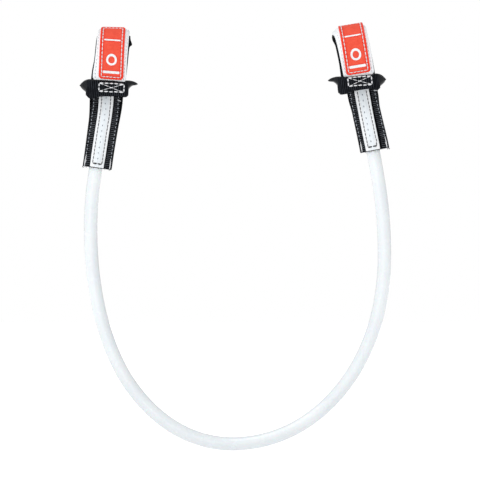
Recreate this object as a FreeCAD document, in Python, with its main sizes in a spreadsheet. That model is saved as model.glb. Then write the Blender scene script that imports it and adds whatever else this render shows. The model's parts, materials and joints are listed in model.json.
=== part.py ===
"""Windsurfing harness line: one tube-covered line that hangs in a U between two boom straps.

Frame, in millimetres: X runs along the boom, left strap to right strap, Z is up, and the sailor
stands on the -Y side, which is the front. The origin is the boom's axis in the left strap.
Each end has a frame of its own: its origin is the boom's axis, its X runs along the boom there and
its Z points to the strap's crest. Each leg has another, which starts at the neck, where the leg
swings under the saddle, and whose Z points up the leg.
"""
import FreeCAD, Part
import math
import os
import Sketcher

from FreeCAD import Placement, Rotation, Vector

FRONT = 180.0
CREST = 90.0
ENDS = ("left", "right")
OUTWARD = {"left": -1, "right": 1}

doc = FreeCAD.newDocument("harness_line")
sheet = doc.addObject("Spreadsheet::Sheet", "Sizes")
sheet_row = 0


def cell(alias, value):
    """Write one driving dimension and its name on the next row of the sheet."""
    global sheet_row
    sheet_row += 1
    sheet.set("A%d" % sheet_row, alias)
    sheet.set("B%d" % sheet_row, str(value))
    sheet.setAlias("B%d" % sheet_row, alias)


# Boom and the layers that wrap it, from the inside out
cell("boom_radius", 15.1)
cell("strap_thick", 1.8)
cell("loop_tape_thick", 1.0)
cell("tab_gap", 0.3)
cell("hook_tape_thick", 0.9)
cell("pad_thick", 3.0)
cell("patch_thick", 1.6)
cell("mark_thick", 0.6)
# Widths along the boom
cell("strap_width", 31.0)
cell("loop_tape_width", 27.0)
cell("hook_tape_width", 26.0)
cell("pad_width", 29.6)
cell("patch_width", 22.2)
cell("bar_width", 15.0)
# Where the layers run: lean of the straight runs, their lengths, and where they stop over the crest
cell("run_lean", 20.4)
cell("strap_run", 33.6)
cell("tab_run", 10.6)
cell("tail_past_crest", 33.0)
cell("tape_past_crest", 48.0)
cell("bar_before_crest", 58.8)
cell("bar_arc", 4.8)
cell("badge_before_crest", 70.0)
# Marks on the patch
cell("badge_drop", 6.2)
cell("badge_radius", 4.8)
cell("badge_hole", 2.9)
cell("label_drop", 15.4)
cell("label_height", 2.6)
# Saddle and keeper band
cell("saddle_top", 23.0)
cell("saddle_base", 37.8)
cell("flange_under", 25.4)
cell("core_width", 34.2)
cell("core_depth", 26.0)
cell("core_corner", 7.0)
cell("core_bite", 0.2)
cell("flange_depth", 28.4)
cell("flange_flat", 11.0)
cell("wing_start", 19.0)
cell("wing_root_half", 8.6)
cell("outer_tip", 25.4)
cell("inner_tip", 26.6)
cell("outer_tip_drop", 30.4)
cell("inner_tip_drop", 25.6)
cell("tip_height", 1.4)
cell("outer_root_drop", 34.0)
cell("inner_root_drop", 31.5)
cell("trough_radius", 60.0)
cell("trough_low", 24.2)
cell("slot_thick", 2.3)
cell("slot_width", 31.8)
cell("band_thick", 1.5)
cell("band_top", 25.6)
cell("band_base", 38.4)
cell("lap_thick", 1.2)
cell("lap_left", 8.6)
cell("lap_right", 15.8)
cell("lap_slope", 5.0)
cell("seam_height", 8.8)
cell("seam_drop", 32.0)
cell("thread", 1.1)
# Legs
cell("neck_drop", 41.0)
cell("leg_start", 0.8)
cell("leg_width", 26.5)
cell("leg_webbing_thick", 1.9)
cell("leg_gap", 0.1)
cell("leg_flat_crown", 0.15)
cell("leg_crown", 3.2)
cell("leg_taper", 20.0)
cell("stripe_width", 13.0)
cell("stripe_thick", 0.9)
cell("row_width", 1.3)
cell("row_thick", 0.5)
cell("row_inset", 2.7)
# Line
cell("tube_outer", 12.0)
cell("tube_bore", 6.5)
cell("rope_thick", 6.0)
cell("rope_tuck", 26.0)
# Each end's own place and lean
cell("left_boom_x", 0.0)
cell("left_boom_z", 0.0)
cell("left_lean", 4.4)
cell("left_tab_shift", 1.3)
cell("left_patch_past_crest", -13.0)
cell("left_neck_shift", -1.5)
cell("left_leg_length", 62.6)
cell("left_leg_lean", 7.7)
cell("right_boom_x", 217.8)
cell("right_boom_z", 2.6)
cell("right_lean", -9.4)
cell("right_tab_shift", 0.4)
cell("right_patch_past_crest", 4.0)
cell("right_neck_shift", 1.2)
cell("right_leg_length", 51.5)
cell("right_leg_lean", -12.5)
doc.recompute()

# The line's route between the two legs: corner points (X, Z), rounded below by tangent arcs
ROUTE = [
    (-14.6, -103.4),
    (-18.5, -131.0),
    (-19.5, -168.0),
    (-16.2, -210.0),
    (-6.4, -254.0),
    (14.0, -298.5),
    (49.5, -335.5),
    (93.0, -353.0),
    (139.5, -349.5),
    (180.3, -330.0),
    (214.3, -295.0),
    (236.5, -250.0),
    (245.4, -204.0),
    (245.3, -160.0),
    (241.6, -124.0),
    (235.4, -89.4),
]


def size(alias):
    """Read one dimension from the sheet."""
    return float(sheet.get(alias))


def degrees_sin(angle):
    return math.sin(math.radians(angle))


def degrees_cos(angle):
    return math.cos(math.radians(angle))


# Radius of each layer's inner face where it wraps the boom, as a formula over the sheet's names
STRAP_IN = "Sizes.boom_radius"
STRAP_OUT = STRAP_IN + " + Sizes.strap_thick"
LOOP_TAPE_OUT = STRAP_OUT + " + Sizes.loop_tape_thick"
HOOK_IN = LOOP_TAPE_OUT + " + Sizes.tab_gap"
HOOK_OUT = HOOK_IN + " + Sizes.hook_tape_thick"
PAD_OUT = HOOK_OUT + " + Sizes.pad_thick"
PATCH_OUT = PAD_OUT + " + Sizes.patch_thick"
MARK_OUT = PATCH_OUT + " + Sizes.mark_thick"


def value_of(formula):
    """Work out a sum of sheet names, such as a layer's radius."""
    return sum(size(term.strip().replace("Sizes.", "")) for term in formula.split("+"))


# ---------------------------------------------------------------- frames

def end_frame(end, shift=0.0):
    """Placement of an end's own frame, moved along the boom by a shift."""
    lean = Rotation(Vector(0, 1, 0), size(end + "_lean"))
    boom = Vector(size(end + "_boom_x"), 0, size(end + "_boom_z"))
    return Placement(boom + lean.multVec(Vector(shift, 0, 0)), lean)


def neck_point(end):
    """Where a leg's swing axis crosses the leg's middle."""
    return end_frame(end).multVec(Vector(size(end + "_neck_shift"), 0, -size("neck_drop")))


def leg_frame(end):
    return Placement(neck_point(end), Rotation(Vector(0, 1, 0), size(end + "_leg_lean")))


# ---------------------------------------------------------------- helpers

def new_body(label):
    body = doc.addObject("PartDesign::Body", label)
    body.Label = label
    return body


def new_sketch(body, name, role):
    """Add a sketch on one of the body's own origin planes."""
    sketch = body.newObject("Sketcher::SketchObject", name)
    plane = [feature for feature in body.Origin.OriginFeatures if feature.Role == role][0]
    sketch.AttachmentSupport = [(plane, "")]
    sketch.MapMode = "FlatFace"
    return sketch


def bind(sketch, kind, arguments, guess, name, formula):
    """Add a dimension to a sketch and tie it to the sheet."""
    index = sketch.addConstraint(Sketcher.Constraint(kind, *arguments, guess))
    sketch.renameConstraint(index, name)
    sketch.setExpression("Constraints." + name, formula)


def pad_both_ways(body, name, sketch, formula):
    pad = body.newObject("PartDesign::Pad", name)
    pad.Profile = sketch
    pad.SideType = "Symmetric"
    pad.setExpression("Length", formula)
    sketch.Visibility = False
    return pad


def on_circle(radius, angle):
    return Vector(radius * degrees_cos(angle), radius * degrees_sin(angle), 0)


def arc_between(radius, start, end):
    circle = Part.Circle(Vector(0, 0, 0), Vector(0, 0, 1), radius)
    return Part.ArcOfCircle(circle, math.radians(start), math.radians(end))


# ---------------------------------------------------------------- layers that wrap the boom

def wrapped_strip(label, inner, outer, stop, stop_formula, run, width):
    """A strip that wraps the boom from a cut past the crest to a straight run down the front.

    The cut is radial, at the angle stop from the back. The sketch is the strip's side view.
    """
    lean = size("run_lean")
    length = size(run)
    body = new_body(label)
    sketch = new_sketch(body, label + "_side", "YZ_Plane")
    down = Vector(degrees_sin(lean), -degrees_cos(lean), 0)
    radius_in = value_of(inner)
    radius_out = value_of(outer)
    turn = FRONT + lean
    foot_out = on_circle(radius_out, turn) + down * length
    foot_in = on_circle(radius_in, turn) + down * length
    sketch.addGeometry(arc_between(radius_out, stop, turn))
    sketch.addGeometry(Part.LineSegment(foot_out, on_circle(radius_out, turn)))
    sketch.addGeometry(Part.LineSegment(foot_out, foot_in))
    sketch.addGeometry(Part.LineSegment(foot_in, on_circle(radius_in, turn)))
    sketch.addGeometry(arc_between(radius_in, stop, turn))
    sketch.addGeometry(Part.LineSegment(on_circle(radius_in, stop), on_circle(radius_out, stop)))
    sketch.addConstraint([
        Sketcher.Constraint("Coincident", 0, 3, -1, 1),
        Sketcher.Constraint("Coincident", 4, 3, -1, 1),
        Sketcher.Constraint("Tangent", 1, 2, 0, 2),
        Sketcher.Constraint("Tangent", 3, 2, 4, 2),
        Sketcher.Constraint("Coincident", 1, 1, 2, 1),
        Sketcher.Constraint("Coincident", 3, 1, 2, 2),
        Sketcher.Constraint("Coincident", 4, 1, 5, 1),
        Sketcher.Constraint("Coincident", 0, 1, 5, 2),
        Sketcher.Constraint("Perpendicular", 1, 2),
        Sketcher.Constraint("Parallel", 1, 3),
        Sketcher.Constraint("PointOnObject", -1, 1, 5),
    ])
    bind(sketch, "Radius", (0,), radius_out, "outer_radius", outer)
    bind(sketch, "Radius", (4,), radius_in, "inner_radius", inner)
    bind(sketch, "Distance", (1,), length, "run", "Sizes." + run)
    bind(sketch, "Angle", (1,), math.radians(90 + lean), "lean", "(90 + Sizes.run_lean) * 1 deg")
    bind(sketch, "Angle", (5,), math.radians(stop), "stop", stop_formula)
    pad_both_ways(body, label + "_pad", sketch, "Sizes." + width)
    return body


def boom_strap(end):
    """The webbing loop: round the boom, then two straight runs that meet inside the saddle."""
    label = end + "_boom_strap"
    lean = size("run_lean")
    length = size("strap_run")
    body = new_body(label)
    sketch = new_sketch(body, label + "_side", "YZ_Plane")
    radius_in = value_of(STRAP_IN)
    radius_out = value_of(STRAP_OUT)
    angles = {"back": -lean, "front": FRONT + lean}
    down = {
        "back": Vector(-degrees_sin(lean), -degrees_cos(lean), 0),
        "front": Vector(degrees_sin(lean), -degrees_cos(lean), 0),
    }
    sketch.addGeometry(arc_between(radius_out, -lean, FRONT + lean))
    sketch.addGeometry(arc_between(radius_in, -lean, FRONT + lean))
    for side in ("front", "back"):
        top_out = on_circle(radius_out, angles[side])
        top_in = on_circle(radius_in, angles[side])
        foot_out = top_out + down[side] * length
        foot_in = top_in + down[side] * length
        sketch.addGeometry(Part.LineSegment(foot_out, top_out))
        sketch.addGeometry(Part.LineSegment(foot_in, top_in))
        sketch.addGeometry(Part.LineSegment(foot_out, foot_in))
    sketch.addConstraint([
        Sketcher.Constraint("Coincident", 0, 3, -1, 1),
        Sketcher.Constraint("Coincident", 1, 3, -1, 1),
        Sketcher.Constraint("Tangent", 2, 2, 0, 2),
        Sketcher.Constraint("Tangent", 3, 2, 1, 2),
        Sketcher.Constraint("Tangent", 5, 2, 0, 1),
        Sketcher.Constraint("Tangent", 6, 2, 1, 1),
    ])
    for outer_run, inner_run, foot in ((2, 3, 4), (5, 6, 7)):
        sketch.addConstraint([
            Sketcher.Constraint("Coincident", outer_run, 1, foot, 1),
            Sketcher.Constraint("Coincident", inner_run, 1, foot, 2),
            Sketcher.Constraint("Perpendicular", outer_run, foot),
            Sketcher.Constraint("Parallel", outer_run, inner_run),
        ])
    bind(sketch, "Radius", (0,), radius_out, "outer_radius", STRAP_OUT)
    bind(sketch, "Radius", (1,), radius_in, "inner_radius", STRAP_IN)
    bind(sketch, "Distance", (2,), length, "front_run", "Sizes.strap_run")
    bind(sketch, "Distance", (5,), length, "back_run", "Sizes.strap_run")
    bind(sketch, "Angle", (2,), math.radians(90 + lean), "front_lean", "(90 + Sizes.run_lean) * 1 deg")
    bind(sketch, "Angle", (5,), math.radians(90 - lean), "back_lean", "(90 - Sizes.run_lean) * 1 deg")
    pad_both_ways(body, label + "_pad", sketch, "Sizes.strap_width")
    body.Placement = end_frame(end)
    return body


def patch_bar(end):
    """The raised bar across the patch, a short arc of the patch's outer face."""
    label = end + "_patch_bar"
    body = new_body(label)
    sketch = new_sketch(body, label + "_side", "YZ_Plane")
    start = CREST + size("bar_before_crest") - size("bar_arc") / 2
    stop = start + size("bar_arc")
    radius_in = value_of(PATCH_OUT)
    radius_out = value_of(MARK_OUT)
    sketch.addGeometry(arc_between(radius_out, start, stop))
    sketch.addGeometry(arc_between(radius_in, start, stop))
    sketch.addGeometry(Part.LineSegment(on_circle(radius_in, start), on_circle(radius_out, start)))
    sketch.addGeometry(Part.LineSegment(on_circle(radius_in, stop), on_circle(radius_out, stop)))
    sketch.addConstraint([
        Sketcher.Constraint("Coincident", 0, 3, -1, 1),
        Sketcher.Constraint("Coincident", 1, 3, -1, 1),
        Sketcher.Constraint("Coincident", 1, 1, 2, 1),
        Sketcher.Constraint("Coincident", 0, 1, 2, 2),
        Sketcher.Constraint("Coincident", 1, 2, 3, 1),
        Sketcher.Constraint("Coincident", 0, 2, 3, 2),
        Sketcher.Constraint("PointOnObject", -1, 1, 2),
        Sketcher.Constraint("PointOnObject", -1, 1, 3),
    ])
    bind(sketch, "Radius", (0,), radius_out, "outer_radius", MARK_OUT)
    bind(sketch, "Radius", (1,), radius_in, "inner_radius", PATCH_OUT)
    middle = "90 + Sizes.bar_before_crest"
    for index, angle, name, sign in ((2, start, "start", "-"), (3, stop, "stop", "+")):
        bind(sketch, "Angle", (index,), math.radians(angle), name,
             "(%s %s Sizes.bar_arc / 2) * 1 deg" % (middle, sign))
    pad_both_ways(body, label + "_pad", sketch, "Sizes.bar_width")
    body.Placement = end_frame(end, size(end + "_tab_shift"))
    return body


def front_cylinder(name, radius_alias, placement):
    """A cylinder whose axis runs front to back, used to cut the badge's ring."""
    cylinder = doc.addObject("Part::Cylinder", name)
    cylinder.setExpression("Radius", "Sizes." + radius_alias)
    cylinder.setExpression("Height", "Sizes.core_depth")
    cylinder.Placement = placement
    return cylinder


def patch_badge(end):
    """Two plain raised marks on the patch: a ring, and a bar under it."""
    label = end + "_patch_badge"
    frame = end_frame(end, size(end + "_tab_shift"))
    stop = CREST + size("badge_before_crest")
    skin = wrapped_strip(label + "_skin", PATCH_OUT, MARK_OUT, stop,
                         "(90 + Sizes.badge_before_crest) * 1 deg", "tab_run", "bar_width")
    skin.Placement = frame
    ring_drop = Vector(0, 0, -size("badge_drop"))
    ring_place = frame.multiply(Placement(ring_drop, Rotation(Vector(1, 0, 0), 90)))
    disc = front_cylinder(label + "_disc", "badge_radius", ring_place)
    hole = front_cylinder(label + "_hole", "badge_hole", ring_place)
    ring = doc.addObject("Part::Cut", label + "_ring")
    ring.Base = disc
    ring.Tool = hole
    bar = doc.addObject("Part::Box", label + "_bar")
    bar.setExpression("Length", "Sizes.bar_width")
    bar.setExpression("Width", "Sizes.core_depth")
    bar.setExpression("Height", "Sizes.label_height")
    label_foot = -size("label_drop") - size("label_height") / 2
    corner = Vector(-size("bar_width") / 2, -size("core_depth"), label_foot)
    bar.Placement = frame.multiply(Placement(corner, Rotation()))
    marks = doc.addObject("Part::Compound", label + "_marks")
    marks.Links = [ring, bar]
    badge = doc.addObject("Part::Common", label)
    badge.Label = label
    badge.Base = skin
    badge.Tool = marks
    return badge


def tab(end):
    """The tail that closes over the loop: hook tape, pad and patch, one on the other."""
    frame = end_frame(end, size(end + "_tab_shift"))
    tail = CREST - size("tail_past_crest")
    tail_formula = "(90 - Sizes.tail_past_crest) * 1 deg"
    patch_end = CREST - size(end + "_patch_past_crest")
    patch_formula = "(90 - Sizes.%s_patch_past_crest) * 1 deg" % end
    parts = [
        wrapped_strip(end + "_hook_tape", HOOK_IN, HOOK_OUT, tail, tail_formula, "tab_run",
                      "hook_tape_width"),
        wrapped_strip(end + "_tab_pad", HOOK_OUT, PAD_OUT, tail, tail_formula, "tab_run",
                      "pad_width"),
        wrapped_strip(end + "_grip_patch", PAD_OUT, PATCH_OUT, patch_end, patch_formula, "tab_run",
                      "patch_width"),
    ]
    for part in parts:
        part.Placement = frame
    return parts + [patch_bar(end), patch_badge(end)]


def loop_tape(end):
    tape = wrapped_strip(end + "_loop_tape", STRAP_OUT, LOOP_TAPE_OUT, CREST - size("tape_past_crest"),
                         "(90 - Sizes.tape_past_crest) * 1 deg", "tab_run", "loop_tape_width")
    tape.Placement = end_frame(end)
    return tape


# ---------------------------------------------------------------- saddle and keeper band

def add_loop(sketch, points):
    """Add a closed outline of straight lines and return its first line's number."""
    first = sketch.GeometryCount
    count = len(points)
    for index in range(count):
        sketch.addGeometry(Part.LineSegment(points[index], points[(index + 1) % count]))
    for index in range(count):
        following = first + (index + 1) % count
        sketch.addConstraint(Sketcher.Constraint("Coincident", first + index, 2, following, 1))
    return first


def pin_point(sketch, line, across, up, name, across_formula, up_formula):
    """Tie a line's start point to the sheet, across and up from the sketch's origin."""
    bind(sketch, "DistanceX", (-1, 1, line, 1), across, name + "_across", across_formula)
    bind(sketch, "DistanceY", (-1, 1, line, 1), up, name + "_up", up_formula)


def rounded_box(sketch, width, depth, corner, width_formula, depth_formula, corner_formula, tag):
    """Add a rectangle with round corners, centred on the origin and tied to the sheet."""
    first = sketch.GeometryCount
    half_w = width / 2
    half_d = depth / 2
    flat_w = half_w - corner
    flat_d = half_d - corner
    edges = [
        (Vector(-flat_w, -half_d, 0), Vector(flat_w, -half_d, 0)),
        (Vector(half_w, -flat_d, 0), Vector(half_w, flat_d, 0)),
        (Vector(flat_w, half_d, 0), Vector(-flat_w, half_d, 0)),
        (Vector(-half_w, flat_d, 0), Vector(-half_w, -flat_d, 0)),
    ]
    centres = [(flat_w, -flat_d, 270), (flat_w, flat_d, 0),
               (-flat_w, flat_d, 90), (-flat_w, -flat_d, 180)]
    for start, stop in edges:
        sketch.addGeometry(Part.LineSegment(start, stop))
    for x, y, angle in centres:
        circle = Part.Circle(Vector(x, y, 0), Vector(0, 0, 1), corner)
        sketch.addGeometry(Part.ArcOfCircle(circle, math.radians(angle), math.radians(angle + 90)))
    for index in range(4):
        edge = first + index
        arc = first + 4 + index
        following = first + (index + 1) % 4
        sketch.addConstraint(Sketcher.Constraint("Tangent", edge, 2, arc, 1))
        sketch.addConstraint(Sketcher.Constraint("Tangent", arc, 2, following, 1))
    for index in range(1, 4):
        sketch.addConstraint(Sketcher.Constraint("Equal", first + 4, first + 4 + index))
    sketch.addConstraint(Sketcher.Constraint("Horizontal", first))
    sketch.addConstraint(Sketcher.Constraint("Symmetric", first + 4, 3, first + 6, 3, -1, 1))
    bind(sketch, "Radius", (first + 4,), corner, tag + "_corner", corner_formula)
    bind(sketch, "DistanceX", (-1, 1, first + 1, 1), half_w, tag + "_half_width", width_formula)
    bind(sketch, "DistanceY", (first, 1, -1, 1), half_d, tag + "_half_depth", depth_formula)


def wing_outline(end):
    """Front view of the flange and its wings: a stubby wing outwards, a long thin one inwards."""
    side = OUTWARD[end]
    top = -size("saddle_top")
    under = -size("flange_under")
    outer_middle = -size("outer_tip_drop")
    inner_middle = -size("inner_tip_drop")
    half_tip = size("tip_height") / 2
    start = size("wing_start")
    outer = [
        ("outer_shoulder", start, top, "wing_start", "-Sizes.saddle_top"),
        ("outer_tip_top", size("outer_tip"), outer_middle + half_tip, "outer_tip",
         "-Sizes.outer_tip_drop + Sizes.tip_height / 2"),
        ("outer_tip_base", size("outer_tip"), outer_middle - half_tip, "outer_tip",
         "-Sizes.outer_tip_drop - Sizes.tip_height / 2"),
        ("outer_root", start, -size("outer_root_drop"), "wing_start", "-Sizes.outer_root_drop"),
        ("outer_corner", start, under, "wing_start", "-Sizes.flange_under"),
    ]
    inner = [
        ("inner_corner", -start, under, "-Sizes.wing_start", "-Sizes.flange_under"),
        ("inner_root", -start, -size("inner_root_drop"), "-Sizes.wing_start", "-Sizes.inner_root_drop"),
        ("inner_tip_base", -size("inner_tip"), inner_middle - half_tip, "-Sizes.inner_tip",
         "-Sizes.inner_tip_drop - Sizes.tip_height / 2"),
        ("inner_tip_top", -size("inner_tip"), inner_middle + half_tip, "-Sizes.inner_tip",
         "-Sizes.inner_tip_drop + Sizes.tip_height / 2"),
        ("inner_shoulder", -start, top, "-Sizes.wing_start", "-Sizes.saddle_top"),
    ]
    outline = []
    for name, across, up, across_alias, up_formula in outer + inner:
        across_formula = across_alias if across_alias.startswith("-") else "Sizes." + across_alias
        outline.append((name, side * across, up, "%d * (%s)" % (side, across_formula), up_formula))
    return outline


def add_leaf(sketch, end):
    """The flange's plan: straight front and back edges, and an arc along each side of each wing."""
    side = OUTWARD[end]
    tips = {side: "outer_tip", -side: "inner_tip"}
    half_formula = "Sizes.flange_depth / 2"
    corners = [
        (-1, -1, "flange_flat", half_formula), (1, -1, "flange_flat", half_formula),
        (1, -1, tips[1], "Sizes.tip_height"), (1, 1, tips[1], "Sizes.tip_height"),
        (1, 1, "flange_flat", half_formula), (-1, 1, "flange_flat", half_formula),
        (-1, 1, tips[-1], "Sizes.tip_height"), (-1, -1, tips[-1], "Sizes.tip_height"),
    ]
    depths = {half_formula: size("flange_depth") / 2, "Sizes.tip_height": size("tip_height")}
    points = [Vector(x * size(alias), y * depths[depth], 0) for x, y, alias, depth in corners]
    first = sketch.GeometryCount
    for index, point in enumerate(points):
        following = points[(index + 1) % len(points)]
        if index % 2 == 0:
            sketch.addGeometry(Part.LineSegment(point, following))
            continue
        wing_side = math.copysign(size("wing_start"), point.x + following.x)
        depth_side = math.copysign(size("wing_root_half"), point.y + following.y)
        sketch.addGeometry(Part.Arc(point, Vector(wing_side, depth_side, 0), following))
    for index in range(len(points)):
        following = first + (index + 1) % len(points)
        sketch.addConstraint(Sketcher.Constraint("Coincident", first + index, 2, following, 1))
    for index, (x, y, alias, depth) in enumerate(corners):
        pin_point(sketch, first + index, points[index].x, points[index].y, "corner_%d" % index,
                  "%d * Sizes.%s" % (x, alias), "%d * %s" % (y, depth))


def saddle(end):
    """The moulded piece under the boom: winged flange, trough, core, and two slanted strap slots."""
    label = end + "_saddle"
    body = new_body(label)

    front = new_sketch(body, label + "_front", "XZ_Plane")
    outline = wing_outline(end)
    first = add_loop(front, [Vector(across, up, 0) for _, across, up, _, _ in outline])
    for index, (name, across, up, across_formula, up_formula) in enumerate(outline):
        pin_point(front, first + index, across, up, name, across_formula, up_formula)
    pad_both_ways(body, label + "_flange", front, "Sizes.flange_depth")

    plan = new_sketch(body, label + "_plan", "XY_Plane")
    reach = size("flange_depth")
    frame_points = [(-1, -1), (1, -1), (1, 1), (-1, 1)]
    add_loop(plan, [Vector(x * reach, y * reach, 0) for x, y in frame_points])
    add_leaf(plan, end)
    trim = body.newObject("PartDesign::Pocket", label + "_trim")
    trim.Profile = plan
    trim.Type = "ThroughAll"
    trim.SideType = "Symmetric"

    trough_side = new_sketch(body, label + "_trough_side", "YZ_Plane")
    trough_side.addGeometry(Part.Circle(Vector(0, size("trough_radius") - size("trough_low"), 0),
                                        Vector(0, 0, 1), size("trough_radius")))
    trough_side.addConstraint(Sketcher.Constraint("PointOnObject", 0, 3, -2))
    bind(trough_side, "Radius", (0,), size("trough_radius"), "radius", "Sizes.trough_radius")
    bind(trough_side, "DistanceY", (-1, 1, 0, 3), size("trough_radius") - size("trough_low"), "height",
         "Sizes.trough_radius - Sizes.trough_low")
    trough = body.newObject("PartDesign::Pocket", label + "_trough")
    trough.Profile = trough_side
    trough.SideType = "Symmetric"
    trough.setExpression("Length", "Sizes.outer_tip + Sizes.inner_tip + Sizes.flange_depth")

    core_plan = new_sketch(body, label + "_core_plan", "XY_Plane")
    core_plan.setExpression(".AttachmentOffset.Base.z", "-Sizes.saddle_base")
    rounded_box(core_plan, size("core_width"), size("core_depth"), size("core_corner"),
                "Sizes.core_width / 2", "Sizes.core_depth / 2", "Sizes.core_corner", "core")
    core = body.newObject("PartDesign::Pad", label + "_core")
    core.Profile = core_plan
    core.setExpression("Length", "Sizes.saddle_base - Sizes.flange_under + Sizes.core_bite")

    slots_side = new_sketch(body, label + "_slots_side", "YZ_Plane")
    lean = size("run_lean")
    middle_radius = size("boom_radius") + size("strap_thick") / 2
    for mirror in (-1, 1):
        out = Vector(mirror * degrees_cos(lean), -degrees_sin(lean), 0)
        down = Vector(-mirror * degrees_sin(lean), -degrees_cos(lean), 0)
        near = out * (middle_radius - size("slot_thick") / 2)
        far = out * (middle_radius + size("slot_thick") / 2)
        begin = down * size("tab_run")
        finish = down * (size("strap_run") + size("core_corner"))
        slot = add_loop(slots_side, [near + begin, far + begin, far + finish, near + finish])
        bind(slots_side, "Distance", (slot,), size("slot_thick"), "slot_%d" % slot, "Sizes.slot_thick")
    slots = body.newObject("PartDesign::Pocket", label + "_slots")
    slots.Profile = slots_side
    slots.SideType = "Symmetric"
    slots.setExpression("Length", "Sizes.slot_width")
    body.Placement = end_frame(end)
    return body


def keeper_band(end):
    """The webbing band round the saddle's core, with its end lapped over the front."""
    label = end + "_keeper_band"
    body = new_body(label)
    plan = new_sketch(body, label + "_plan", "XY_Plane")
    plan.setExpression(".AttachmentOffset.Base.z", "-Sizes.band_base")
    rounded_box(plan, size("core_width"), size("core_depth"), size("core_corner"),
                "Sizes.core_width / 2", "Sizes.core_depth / 2", "Sizes.core_corner", "inner")
    thick = size("band_thick")
    rounded_box(plan, size("core_width") + 2 * thick, size("core_depth") + 2 * thick,
                size("core_corner") + thick, "Sizes.core_width / 2 + Sizes.band_thick",
                "Sizes.core_depth / 2 + Sizes.band_thick", "Sizes.core_corner + Sizes.band_thick", "outer")
    ring = body.newObject("PartDesign::Pad", label + "_ring")
    ring.Profile = plan
    ring.setExpression("Length", "Sizes.band_base - Sizes.band_top")

    lap_plan = new_sketch(body, label + "_lap_plan", "XY_Plane")
    lap_plan.setExpression(".AttachmentOffset.Base.z", "-Sizes.band_base")
    back = -size("core_depth") / 2 - thick / 2
    front = -size("core_depth") / 2 - thick - size("lap_thick")
    flat_end = size("lap_right") - size("lap_slope")
    lap = add_loop(lap_plan, [Vector(-size("lap_left"), front, 0), Vector(flat_end, front, 0),
                              Vector(size("lap_right"), back, 0), Vector(-size("lap_left"), back, 0)])
    lap_plan.addConstraint(Sketcher.Constraint("Horizontal", lap))
    lap_plan.addConstraint(Sketcher.Constraint("Horizontal", lap + 2))
    lap_plan.addConstraint(Sketcher.Constraint("Vertical", lap + 3))
    front_formula = "-Sizes.core_depth / 2 - Sizes.band_thick - Sizes.lap_thick"
    pin_point(lap_plan, lap, -size("lap_left"), front, "lap_start", "-Sizes.lap_left", front_formula)
    bind(lap_plan, "DistanceX", (-1, 1, lap + 1, 1), flat_end, "lap_flat_end",
         "Sizes.lap_right - Sizes.lap_slope")
    pin_point(lap_plan, lap + 2, size("lap_right"), back, "lap_end", "Sizes.lap_right",
              "-Sizes.core_depth / 2 - Sizes.band_thick / 2")
    overlap = body.newObject("PartDesign::Pad", label + "_lap")
    overlap.Profile = lap_plan
    overlap.setExpression("Length", "Sizes.band_base - Sizes.band_top")
    body.Placement = end_frame(end)
    return body


def thread_bar(name, frame, start, stop, front):
    """One straight thread run on the band's front, from one (X, Z) point to another."""
    bar = doc.addObject("Part::Box", name)
    run = math.dist(start, stop)
    angle = math.degrees(math.atan2(stop[1] - start[1], stop[0] - start[0]))
    bar.Length = run
    bar.setExpression("Width", "Sizes.thread / 2")
    bar.setExpression("Height", "Sizes.thread")
    turn = Rotation(Vector(0, 1, 0), -angle)
    corner = Vector(start[0], front - size("thread") / 2, start[1])
    middle = turn.multVec(Vector(0, 0, -size("thread") / 2))
    bar.Placement = frame.multiply(Placement(corner + middle, turn))
    return bar


def keeper_stitching(end):
    """The box with a cross in it that sews the band's lap."""
    label = end + "_keeper_stitching"
    frame = end_frame(end)
    flat_end = size("lap_right") - size("lap_slope")
    middle = (flat_end - size("lap_left")) / 2
    half_w = (flat_end + size("lap_left")) / 2 - size("thread")
    half_h = size("seam_height") / 2
    drop = -size("seam_drop")
    front = -size("core_depth") / 2 - size("band_thick") - size("lap_thick")
    low_left = (middle - half_w, drop - half_h)
    low_right = (middle + half_w, drop - half_h)
    high_right = (middle + half_w, drop + half_h)
    high_left = (middle - half_w, drop + half_h)
    runs = [
        (low_left, low_right), (low_right, high_right), (high_right, high_left), (high_left, low_left),
        (low_left, high_right), (high_left, low_right),
    ]
    bars = []
    for number, (start, stop) in enumerate(runs):
        bars.append(thread_bar("%s_run_%d" % (label, number), frame, start, stop, front))
    seam = doc.addObject("Part::MultiFuse", label)
    seam.Label = label
    seam.Shapes = bars
    return seam


# ---------------------------------------------------------------- legs

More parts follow.
